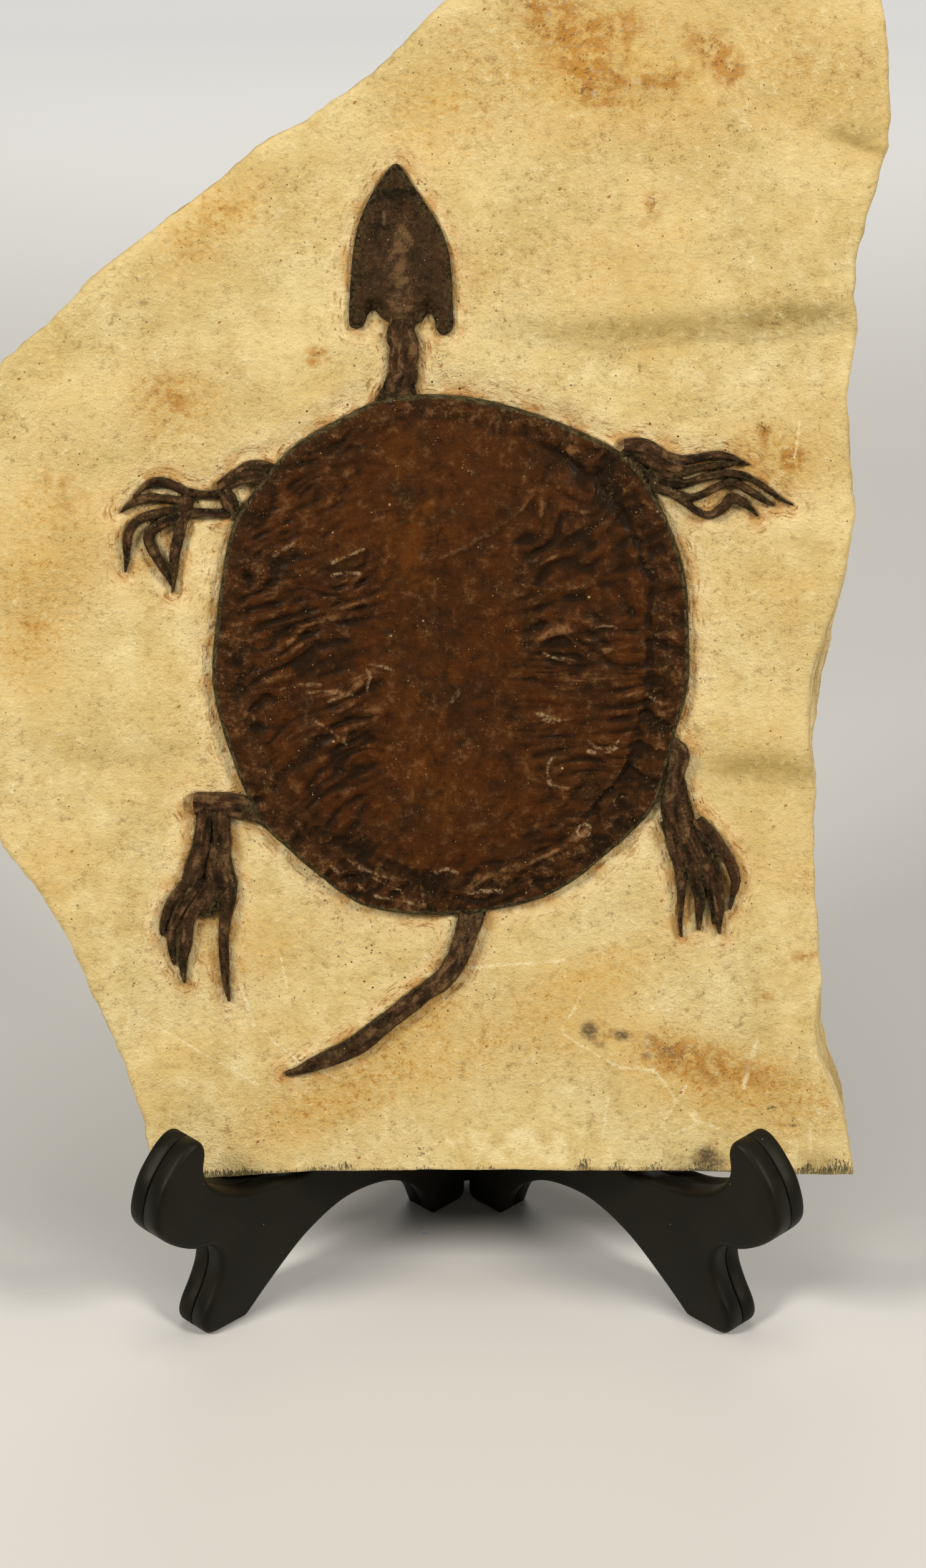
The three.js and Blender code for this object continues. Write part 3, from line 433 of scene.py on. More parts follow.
# Each bone: stations of x, y, half width and height.
BONES = {
    "neck": [
        [[-14.6, 192, 2.7, 1.5], [-14.2, 189.2, 3.1, 1.7], [-14.5, 187.6, 2.8, 1.4],
         [-14.4, 185.6, 3.3, 1.7], [-13.7, 184.4, 2.9, 1.4], [-13.9, 181.8, 3.2, 1.7],
         [-14.4, 180.4, 2.9, 1.4], [-14.0, 177.8, 3.3, 1.7], [-14.7, 176.4, 3.1, 1.5],
         [-15.0, 174.2, 3.9, 1.6], [-15.4, 171.4, 5.0, 1.6]],
    ],
    "tail": [
        [[1.6, 63.6, 3.6, 1.6], [1.0, 61.9, 3.4, 1.8], [0.5, 59.3, 2.9, 2.0], [-0.5, 55.7, 2.6, 2.0],
         [-1.7, 51.9, 2.5, 2.0], [-3.5, 48.0, 2.3, 1.9], [-6.4, 44.4, 2.2, 1.9], [-9.6, 42.3, 2.0, 1.8],
         [-13.4, 39.2, 2.1, 1.8], [-17.7, 35.8, 2.0, 1.7], [-21.3, 32.9, 2.2, 1.7],
         [-24.8, 30.1, 2.2, 1.6], [-28.9, 28.1, 2.0, 1.5], [-33.5, 26.1, 1.6, 1.4],
         [-37.5, 24.4, 1.0, 1.1], [-40.8, 23.4, 0.4, 0.6]],
    ],
    "front_left_limb": [
        [[-41.8, 155.8, 2.5, 2.1], [-44, 156.5, 2.7, 2.2], [-46.5, 156.9, 2.6, 2.2],
         [-49.4, 156, 1.9, 2.0], [-51.9, 154.6, 1.6, 1.9], [-53.7, 153.5, 1.4, 1.8]],
        [[-53, 153, 1.3, 1.8], [-51.8, 150.8, 1.8, 1.9], [-51.1, 149.4, 1.6, 1.9],
         [-50.4, 147.8, 1.0, 1.6]],
        [[-41.8, 150.1, 2.0, 1.4], [-44, 152.2, 1.6, 1.4], [-46.2, 153.3, 1.1, 1.3]],
        [[-53.3, 152.5, 1.0, 1.7], [-55.5, 152.1, 0.8, 1.5], [-58, 152.1, 0.8, 1.5],
         [-60.1, 152.3, 1.1, 1.7]],
        [[-51.6, 148.1, 1.2, 1.6], [-54.1, 148.1, 0.9, 1.4], [-57, 148.2, 0.9, 1.4],
         [-59.8, 148.1, 1.1, 1.6]],
        [[-60.5, 152.2, 1.1, 1.7], [-60.7, 150.5, 1.4, 1.9], [-61.1, 148.7, 1.5, 1.9],
         [-61.8, 147.2, 1.2, 1.7]],
        [[-60.1, 152.2, 0.9, 1.5], [-62.6, 153.5, 1.0, 1.5], [-64.8, 154.5, 1.0, 1.5],
         [-66.9, 154.8, 1.0, 1.4], [-68.9, 154.3, 0.8, 1.3], [-70.5, 153.1, 0.5, 1.0],
         [-72.3, 151.5, 0.3, 0.8]],
        [[-60.9, 150.5, 1.0, 1.5], [-63.4, 150.9, 0.9, 1.5], [-65.9, 151.3, 0.8, 1.5],
         [-68.4, 151.4, 0.9, 1.5], [-70.5, 151, 0.9, 1.4], [-72.3, 150.2, 0.8, 1.3],
         [-74, 149.2, 0.5, 1.1], [-75.1, 148.2, 0.2, 0.8]],
        [[-61.3, 148.8, 1.0, 1.6], [-63.8, 148.7, 0.9, 1.5], [-66.6, 148.1, 1.0, 1.5],
         [-69.2, 147.5, 1.0, 1.6], [-71.3, 146.5, 1.0, 1.6], [-72.9, 144.9, 1.0, 1.6],
         [-73.7, 142.8, 1.0, 1.6], [-73.9, 140.4, 0.9, 1.4], [-73.9, 138.3, 0.6, 1.2],
         [-74.3, 135.3, 0.2, 0.7]],
        [[-62, 147.6, 1.1, 1.6], [-64.2, 146.7, 1.2, 1.6], [-66.5, 145.6, 1.2, 1.6],
         [-68.3, 144.2, 1.2, 1.6], [-69.1, 142.6, 1.2, 1.6], [-68.4, 140.4, 1.2, 1.6],
         [-67.3, 138.3, 1.0, 1.5], [-66.1, 136.1, 0.8, 1.4], [-65.1, 134.1, 0.5, 1.1],
         [-64.3, 132.1, 0.2, 0.7]],
        [[-61.8, 146.9, 1.2, 1.6], [-62.2, 145.1, 1.2, 1.6], [-62.7, 142.9, 1.2, 1.6],
         [-63.2, 140.8, 1.2, 1.5], [-63.6, 138.6, 1.1, 1.5], [-63.7, 136.1, 0.8, 1.3],
         [-63.8, 133.6, 0.5, 1.0], [-64.1, 130.9, 0.2, 0.7]],
    ],
    "front_right_limb": [
        [[33.4, 161.6, 2.4, 1.8], [37, 161.6, 2.6, 2.1], [39.4, 160.4, 2.6, 2.2], [41.6, 159, 2.4, 2.2],
         [43.8, 158, 1.9, 2.1], [46, 157.6, 1.4, 1.9]],
        [[32.4, 161, 1.8, 1.6], [35.7, 158, 1.5, 1.8], [37.9, 155.8, 1.4, 1.8], [40.5, 153.6, 1.2, 1.8],
         [43.3, 152.6, 1.0, 1.8], [45.9, 151.4, 0.9, 1.7]],
        [[43, 159.9, 1.3, 1.8], [45.8, 159.6, 0.9, 1.6], [48.6, 159.8, 0.9, 1.6],
         [51.4, 160.4, 0.8, 1.5], [53.9, 160.6, 0.8, 1.4], [56.5, 160.1, 0.6, 1.2],
         [58.5, 159.2, 0.4, 1.0], [60.3, 158.4, 0.2, 0.7]],
        [[41.6, 156.6, 1.6, 1.9], [44.4, 156.6, 1.1, 1.8], [47.8, 157.3, 0.8, 1.6],
         [50.3, 157.9, 0.7, 1.5], [52.8, 158.3, 0.7, 1.4], [55.4, 158.5, 0.5, 1.2],
         [57.6, 158.8, 0.3, 1.0]],
        [[42.4, 154.9, 1.3, 1.8], [46.4, 154.4, 0.9, 1.7], [48.7, 155.1, 0.8, 1.6],
         [50.9, 155.9, 0.8, 1.6], [53.4, 156.4, 0.8, 1.5], [56, 156.6, 0.8, 1.5],
         [58.5, 156.3, 0.8, 1.5], [60.8, 155.4, 0.7, 1.4], [63.1, 154, 0.7, 1.3],
         [65.4, 152.3, 0.6, 1.2], [67.4, 150.9, 0.4, 0.9], [69.8, 149.8, 0.2, 0.6]],
        [[45.3, 152, 1.0, 1.7], [47.6, 151.4, 0.8, 1.6], [49.8, 151.9, 0.8, 1.5], [52.1, 153, 0.8, 1.5],
         [54.3, 154.1, 0.8, 1.5], [56.3, 154.7, 0.8, 1.5], [58, 154.2, 0.8, 1.4], [60, 152.9, 0.8, 1.4],
         [62, 151.7, 0.7, 1.3], [64, 150.5, 0.5, 1.1], [65.7, 149.8, 0.3, 0.7]],
        [[42.6, 153.1, 1.1, 1.8], [44.7, 151.6, 0.9, 1.7], [47, 150, 0.8, 1.6], [49.3, 148.4, 0.8, 1.5],
         [51.6, 147.7, 0.7, 1.5], [53.5, 148.3, 1.0, 1.5], [55.2, 149.8, 1.1, 1.6],
         [56.3, 151.3, 1.0, 1.6], [57.7, 151.1, 1.0, 1.5], [59.5, 150, 0.8, 1.3], [61, 148.7, 0.5, 1.0],
         [62.3, 147.3, 0.2, 0.7]],
    ],
    "hind_left_limb": [
        [[-41.8, 80.6, 2.9, 1.9], [-45.8, 82.8, 2.6, 2.1], [-49.6, 83.7, 2.6, 2.1],
         [-53.4, 84.4, 2.6, 2.2], [-57.4, 84.4, 2.5, 2.1], [-59.9, 84.5, 2.4, 2.0],
         [-60.3, 84.5, 0.5, 1.7]],
        [[-57.7, 84.2, 2.2, 2.1], [-58.1, 80.3, 1.8, 2.0], [-58.5, 77, 1.9, 1.9],
         [-59.1, 73.6, 2.1, 2.0], [-60.1, 70.3, 2.3, 2.0], [-61.1, 67.2, 2.2, 1.9]],
        [[-54.5, 83.8, 2.0, 2.1], [-54.2, 79.2, 1.9, 2.0], [-54.4, 75.8, 2.2, 2.0],
         [-54.7, 72.5, 2.5, 2.0], [-54.8, 69.4, 3.2, 2.0], [-54.3, 66.9, 3.3, 1.9]],
        [[-61, 67.5, 1.6, 1.8], [-63.5, 64.7, 1.5, 1.8], [-65.5, 61.9, 1.4, 1.7],
         [-66.8, 59.1, 1.1, 1.5], [-67.5, 56.6, 0.7, 1.2], [-67.6, 54.9, 0.3, 0.8]],
        [[-59.1, 67.5, 1.6, 1.9], [-61.3, 64.1, 1.4, 1.8], [-63.7, 60.8, 1.3, 1.8],
         [-65.2, 57.7, 1.0, 1.6], [-65.7, 54.6, 0.9, 1.5], [-65.6, 51.8, 0.8, 1.3],
         [-65.3, 49.5, 0.5, 1.0], [-65, 48.3, 0.2, 0.7]],
        [[-56.4, 67.4, 1.8, 1.9], [-58.3, 64.1, 1.6, 1.8], [-60.2, 61.2, 1.5, 1.8],
         [-61.8, 58.2, 1.4, 1.8], [-62.2, 55.2, 1.4, 1.7], [-62.5, 52.4, 1.3, 1.6],
         [-63.1, 49.5, 1.0, 1.4], [-63.1, 46.7, 0.7, 1.2], [-62.8, 44.2, 0.2, 0.7]],
        [[-55.2, 67.4, 1.7, 1.9], [-56.2, 64.6, 1.2, 1.7], [-57.6, 61.8, 0.9, 1.5],
         [-59, 59.6, 0.7, 1.3]],
        [[-53, 67.2, 2.1, 1.9], [-53, 63.6, 1.9, 1.9], [-53.5, 60.2, 1.5, 1.8], [-53.9, 56.8, 1.2, 1.7],
         [-54.1, 53.5, 1.1, 1.6], [-54, 50.1, 1.1, 1.5], [-53.9, 47.3, 1.0, 1.4],
         [-53.7, 43.9, 0.7, 1.1], [-53, 40.1, 0.3, 0.7]],
    ],
    "hind_right_limb": [
        [[42, 100, 1.5, 1.6], [43.5, 97.9, 2.1, 2.0], [45.5, 95.5, 2.6, 2.2], [45.4, 93.2, 2.3, 2.1],
         [45.2, 90.6, 1.9, 2.0], [45.2, 88, 2.6, 2.1], [45.2, 84.8, 3.2, 2.2], [45.9, 81.7, 3.5, 2.1],
         [46.6, 79.6, 3.2, 2.0]],
        [[43.5, 80.6, 1.7, 1.9], [44.3, 77, 1.3, 1.8], [45.1, 73.8, 1.2, 1.7], [46, 70.7, 1.1, 1.6],
         [46.5, 67.5, 1.1, 1.5], [46.7, 64.3, 0.9, 1.4], [46.6, 61.2, 0.7, 1.2], [46.6, 58, 0.5, 1.0],
         [46.8, 54.6, 0.2, 0.7]],
        [[45.8, 80.6, 1.7, 1.9], [47.1, 76.5, 1.3, 1.8], [48.5, 72.8, 1.3, 1.8], [49.4, 69.6, 1.4, 1.7],
         [50.2, 66.5, 1.3, 1.6], [50.7, 63.3, 1.2, 1.5], [50.7, 60.1, 0.9, 1.2], [50.7, 56.3, 0.4, 0.8]],
        [[48.2, 80.4, 1.7, 1.9], [49.9, 76.5, 1.4, 1.8], [51.7, 72.8, 1.5, 1.8], [53.1, 69.6, 1.8, 1.8],
         [54, 66.5, 1.9, 1.7], [54.6, 63.3, 1.7, 1.6], [54.9, 60.6, 1.3, 1.4], [55, 57.5, 0.7, 1.0],
         [55.3, 55.4, 0.3, 0.7]],
        [[53.1, 65, 1.1, 1.4], [53.8, 61.2, 0.8, 1.2], [54, 57.6, 0.4, 0.8]],
        [[49.9, 80.4, 1.8, 1.9], [53, 77.5, 1.6, 1.8], [55.4, 74.4, 1.4, 1.7], [57.2, 71.7, 1.3, 1.6],
         [58.2, 69.1, 1.2, 1.5], [58.6, 67, 1.0, 1.4], [58.2, 64.3, 0.6, 1.1], [57.5, 60.8, 0.2, 0.7]],
    ],
}
# Stone left between the bones of a palm, drawn like a bone but low and broad.
WEBS = {
    "hind_left_limb": [
        [[-57.6, 67.5, 2.6, 1.6], [-57.4, 64.2, 2.7, 1.5], [-57.4, 61.4, 2.0, 1.3],
         [-58.2, 59.6, 1.2, 1.1]],
        [[-61.8, 65.8, 1.8, 1.5], [-62.9, 62.2, 1.8, 1.4], [-64.6, 59.2, 1.0, 1.2]],
    ],
    "hind_right_limb": [
        [[44.6, 80.4, 2.6, 1.6], [46.6, 76.8, 3.0, 1.6], [48.4, 73.6, 3.4, 1.5], [49.8, 70.2, 3.2, 1.4],
         [50.6, 67.4, 2.0, 1.2]],
        [[49.6, 78.4, 2.4, 1.6], [52.2, 75.4, 2.6, 1.5], [54.2, 72.6, 2.0, 1.3]],
    ],
    "front_left_limb": [[[-60.2, 151.4, 1.4, 1.6], [-61.6, 149.4, 1.8, 1.7], [-62.6, 147.4, 1.8, 1.6]]],
    "front_right_limb": [[[38.6, 157.6, 2.4, 1.3], [41.6, 156, 2.2, 1.4], [44, 155.6, 1.4, 1.3]]],
}
shell_edge = smooth_line(SHELL_EDGE, 6, closed=True)
skull_edge = smooth_line(SKULL_EDGE, 5, closed=True)
bone_lines = {limb: [smooth_line(bone, 4) for bone in bones] for limb, bones in BONES.items()}
web_lines = {limb: [smooth_line(web, 4) for web in webs] for limb, webs in WEBS.items()}
all_bones = [line for group in (bone_lines, web_lines) for lines in group.values() for line in lines]
print("shell edge points:", len(shell_edge), "bones:", len(all_bones))

# %% Distance to the nearest bone, with the place along and across it
BONE_STRIDE = 37.0  # each bone's measure along starts this much farther on, so no two look alike


def nearest_bone(lines, x, y):
    """For each point: distance outside the nearest bone's side (negative inside), place across and along
    that bone, and how much farther the next bone is."""
    gap, second = np.full(x.shape, FAR), np.full(x.shape, FAR)
    across, along = np.zeros(x.shape), np.zeros(x.shape)
    for number, line in enumerate(lines):
        walked = BONE_STRIDE * number
        own_gap, own_across, own_along = np.full(x.shape, FAR), np.zeros(x.shape), np.zeros(x.shape)
        for a, b in zip(line, line[1:]):
            d = b[:2] - a[:2]
            length = math.hypot(*d)
            t = np.clip(((x - a[0]) * d[0] + (y - a[1]) * d[1]) / length**2, 0, 1)
            off_x, off_y = x - a[0] - t * d[0], y - a[1] - t * d[1]
            outside = np.hypot(off_x, off_y) - a[2] - (b[2] - a[2]) * t
            closer = outside < own_gap
            own_gap = np.where(closer, outside, own_gap)
            own_across = np.where(closer, (off_y * d[0] - off_x * d[1]) / length, own_across)
            own_along = np.where(closer, walked + t * length, own_along)
            walked += length
        closer = own_gap < gap
        second = np.where(closer, gap, np.minimum(second, own_gap))
        gap = np.where(closer, own_gap, gap)
        across = np.where(closer, own_across, across)
        along = np.where(closer, own_along, along)
    return gap, across, along, second - gap


neck_gap = nearest_bone(bone_lines["neck"], np.array([-14.0]), np.array([180.0]))[0]
print("a place in the neck lies", -neck_gap.round(1)[0], "mm inside it")

# %% [markdown]
# ## The stone's face
#
# Limestone of this kind splits into beds about a millimetre thick. Two low ledges cross the
# slab where a bed has come away: above each, the face slopes down for a few millimetres and then
# drops. A preparator has scraped a moat round the shell and a thin pocket round each bone. The
# whole face is one height function of x and y, made of these few causes added together.

# %% The beds, the moat and the pockets as heights
LOWER_LEDGE = np.array([
    [-130, 95.5], [-91, 93.5], [-60, 94.5], [-20, 96.5], [20, 95.5], [48, 94], [62, 92.6], [130, 92.4],
])
UPPER_LEDGE = np.array([
    [-130, 189], [-70, 185], [-28, 187], [-2, 185.9], [6.4, 184.6], [13, 183.5], [20, 183], [33, 182.8],
    [40, 183.3], [46, 184.3], [53, 185], [60, 184.6], [66, 185], [73, 185.7], [83, 187], [130, 188.5],
])
LOW_BED, MIDDLE_BED, HIGH_BED = -0.7, 0.0, 0.7
MOAT_FLOOR, POCKET_FLOOR = -1.2, -0.55
SHELL_SEAT = -1.9  # where the shell's wall ends, out of sight under the stone's face
SIDE_SCARS = [(112, 16), (26, 12)]  # middle and half length of the flaked stretches of the right edge


def ledge(line, x, y, crispness):
    """0 below a ledge, 1 above it: a slope of some millimetres with a crisp foot."""
    up = y - np.interp(x, line[:, 0], line[:, 1]) + 0.5 * rough(x, y, 7, 40)
    slope = 6.5 + 2.5 * lumps(x, x, 30, 44)
    return crispness * ease(up, 0, 0.8) + (1 - crispness) * ease(up, 0, slope)


def beds(x, y):
    """Height of the stone before it was worked: the beds and their natural unevenness."""
    right = ease(x, -12, 45)
    low = ledge(LOWER_LEDGE, x, y, 0.15)
    high = ledge(UPPER_LEDGE, x, y, 0.15 + 0.3 * right) * (0.35 + 0.65 * right)
    height = LOW_BED + (MIDDLE_BED - LOW_BED) * low + (HIGH_BED - MIDDLE_BED) * high
    height += 0.2 * rough(x, y, 34, 7) + 0.1 * rough(x, y, 8, 11, 2) + 0.06 * rough(x, y, 3.1, 15, 2)
    # thin scabs of bed that have lifted here and there
    scab = rough(x, y, 19, 21) - 0.25 * rough(x, y, 4, 33)
    return height - 0.13 * ease(scab, 0.3, 0.36) - 0.07 * ease(rough(x, y, 9, 25), 0.34, 0.42)


def around_bones(x, y):
    """Distances from the shell's edge and from the nearest other bone, negative inside."""
    to_bone = np.minimum(nearest_bone(all_bones, x, y)[0], beyond(skull_edge, x, y))
    return beyond(shell_edge, x, y), to_bone


def face_height(x, y):
    """Height of the stone's face, how freshly worked it is there, and the distance from bone."""
    to_shell, to_bone = around_bones(x, y)
    height = beds(x, y)
    moat = 1 - ease(to_shell + 1.1 * lumps(x, y, 9, 30), 0.6, 7.4)
    height += (MOAT_FLOOR - height) * moat**1.3
    pocket = 1 - ease(to_bone + 0.8 * lumps(x, y, 5, 31), 0.1, 4.6)
    height += (POCKET_FLOOR - height) * pocket**1.2
    # the scraper leaves shallow facets
    worked = np.maximum(1 - ease(to_shell, 0.5, 8.5), 1 - ease(to_bone, 0.3, 6))
    height += 0.07 * worked * lumps(x, y, 2.4, 35)
    height = np.where(to_shell < -1, SHELL_SEAT, height)
    return height, worked, np.minimum(to_bone, to_shell)


beside, far_off = face_height(np.array([50.0, 70]), np.array([115.0, 115]))[0]
print(f"height of the face: {beside:.2f} mm beside the shell, {far_off:.2f} mm far from it")

# %% [markdown]
# ## The broken edge
#
# Seen from the side the stone is a stack of beds, each broken a little further in or out than
# its neighbour. So the wall is a stack of flat rings in pairs: one pair for each bed, with its
# own random inset that wanders along the edge. Two scars on the right show a wider pale step.

# %% The slab's outline and wall
SLAB_EDGE = np.array([
    [-71.1, -0.6], [-59.6, -1.0], [-48, -0.4], [-34.8, 0.6], [0, 0.9], [34.8, 0.6], [57.6, 0.4],
    [73.5, -0.3], [86.5, -0.3], [85.3, 11.4], [84.1, 18.9], [81.7, 26.8], [79.3, 34.8], [78.3, 47.7],
    [77.3, 61.1], [76.3, 77.5], [76.7, 87.9], [76, 97.4], [77.4, 110.3], [79.1, 117.3], [80.5, 125.2],
    [82.5, 138.1], [83.9, 148.1], [82.4, 166], [81.9, 172.9], [83.5, 186.8], [83.5, 190.8],
    [82.8, 193.8], [83, 201.7], [85.3, 211.2], [89.1, 225.6], [89.3, 231.5], [88.6, 249.4],
    [86.5, 259.4], [80.5, 264.8], [67.6, 268.3], [49.7, 269.8], [29.8, 268.8], [13.9, 265.3], [2, 260.9],
    [-6.8, 255], [-13.6, 247.7], [-20.9, 241.1], [-33.6, 232.5], [-45.5, 225.6], [-52.4, 219.8],
    [-66.3, 209.9], [-81, 198.1], [-90.4, 189.2], [-100.4, 180.9], [-105.8, 173.9], [-108.8, 163],
    [-109.8, 147.1], [-110.3, 127.2], [-108.8, 107.3], [-106.8, 91.4], [-103, 74.1], [-96.4, 66.1],
    [-89.6, 54.7], [-83.8, 40.7], [-77.8, 26.5], [-73, 11.9],
])
BED_LINES = [-9.0, -8.2, -7.1, -6.3, -5.0, -4.3, -3.1, -2.3, -1.5]
BED_CREASE = 0.04  # half the height of the groove between two beds


def slab_rings():
    """The wall's rings from back to front, each with its height, and how scarred each point is."""
    edge = even_steps(SLAB_EDGE, 1.1)
    x, y = edge.T
    foot = 1 - ease(y, 2, 6)
    edge = inward(edge, (0.45 * rough(x, y, 9, 60) + 0.25 * rough(x, y, 2.5, 64) + 0.25) * (1 - 0.8 * foot))
    scar = sum(np.exp(-(((y - middle) / half) ** 2)) for middle, half in SIDE_SCARS) * (x > 60)
    rings = []
    for n, (low, high) in enumerate(zip(BED_LINES, BED_LINES[1:])):
        share = n / (len(BED_LINES) - 2)
        step = 0.55 * np.abs(rough(x + 50 * n, y, 16, 70 + n))
        step += 0.35 * np.abs(lumps(x, y + 50 * n, 3.5, 90 + n))
        step = step * (1 - 0.75 * foot) + scar * 2.2 * ease(share, 0.45, 1)
        if n == 0:  # the back's own edge is worn
            step = step + 0.9
        lift = 0.18 * lumps(x, y, 12, 110 + n)
        for height in (low + BED_CREASE, high - BED_CREASE):
            rings.append((inward(edge, step), height + lift))
    return edge, rings, scar, foot


edge, rings, scar, foot = slab_rings()
rim = inward(rings[-1][0], 0.25 + 0.5 * np.abs(rough(*edge.T, 5, 130)) * (1 - 0.7 * foot) + 0.9 * scar)
print("edge points:", len(edge), "rings:", len(rings))

# %% Points of the face and the back, then the slab as one closed piece
SHARE_UNDER_SHELL = 0.04  # of the face's points, which nobody sees there


def face_points():
    """Points of the face: fine near bones and ledges, plain elsewhere and few under the shell."""
    coarse, fine = ((0.98, 0.6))

    def crowded(x, y):
        to_shell, to_bone = around_bones(x, y)
        to_step = [np.abs(y - 0.6 - np.interp(x, *line.T)) for line in (LOWER_LEDGE, UPPER_LEDGE)]
        near_step = (np.minimum(*to_step) < 1.4) & (x > 0) & (to_shell > 0)
        near_bone = (to_bone > -1.2) & (to_bone < 1.8) & (to_shell > 0)
        return near_step | near_bone | ((to_shell > -1.5) & (to_shell < 1.6))

    def plain(x, y):
        hidden = beyond(shell_edge, x, y) < -2.5
        kept = ~hidden | (np.random.default_rng(5).random(x.shape) < SHARE_UNDER_SHELL)
        kept[kept] = ~crowded(x[kept], y[kept])
        return kept

    return np.vstack([scatter(rim, coarse, 1, plain), scatter(rim, fine, 6, crowded)])


FAR_FROM_BONE = 50.0


def back_points(ring):
    """Points of the back, with wide flakes gone here and there."""
    points = scatter(ring, 3.2, 2)
    x, y = points.T
    flake = ease(rough(x, y, 46, 150), 0.02, 0.07) + ease(rough(x, y, 28, 154), 0.15, 0.19)
    height = BED_LINES[0] + 0.5 * flake * ease(distance_to(ring, x, y), 1, 5) + 0.08 * lumps(x, y, 5, 158)
    return points, height


def make_slab(finish):
    """The face, the wall and the back as one closed piece. The rim's points belong to face and wall."""
    face = face_points()
    x, y = np.vstack([rim, face]).T
    height, worked, near = face_height(x, y)
    to_rim = distance_to(SLAB_EDGE, x, y)
    crumble = 1.1 + 0.9 * rough(x, y, 6, 140)
    height -= 0.55 * (1 - ease(to_rim, 0.2, crumble + 0.6)) * ease(y, 1.5, 5)
    back_ring = rings[0][0]
    back, back_height = back_points(back_ring)

    layers = [*rings, (rim, height[:len(rim)]), (face, height[len(rim):]), (back, back_height)]
    points = np.vstack([np.column_stack(layer) for layer in layers])
    rim_start, back_start = len(rim) * len(rings), len(points) - len(back)
    front_faces = fill(rim, face) + rim_start
    back_faces = fill(back_ring, back)[:, ::-1]
    back_faces = np.where(back_faces < len(rim), back_faces, back_faces - len(rim) + back_start)
    walls = stack([ring for ring, _ in rings] + [rim])

    def everywhere(on_wall, on_face, on_back):
        """One measure for all points, wall first."""
        return np.concatenate([np.full(rim_start, on_wall), on_face, np.full(len(back), on_back)])

    piece(
        "slab_stone", points, [*walls, *front_faces, *back_faces], slab_board, finish, "limestone", ["slab"],
        edge_on=everywhere(1.0, 0.6 * (1 - ease(to_rim, 0.2, 1.2)), 0.35),
        worked=everywhere(0.0, worked, 0.0),
        near=everywhere(FAR_FROM_BONE, near, FAR_FROM_BONE),
        **{kind: everywhere(0.0, strength, 0.0) for kind, strength in stains(x, y).items()},
    )
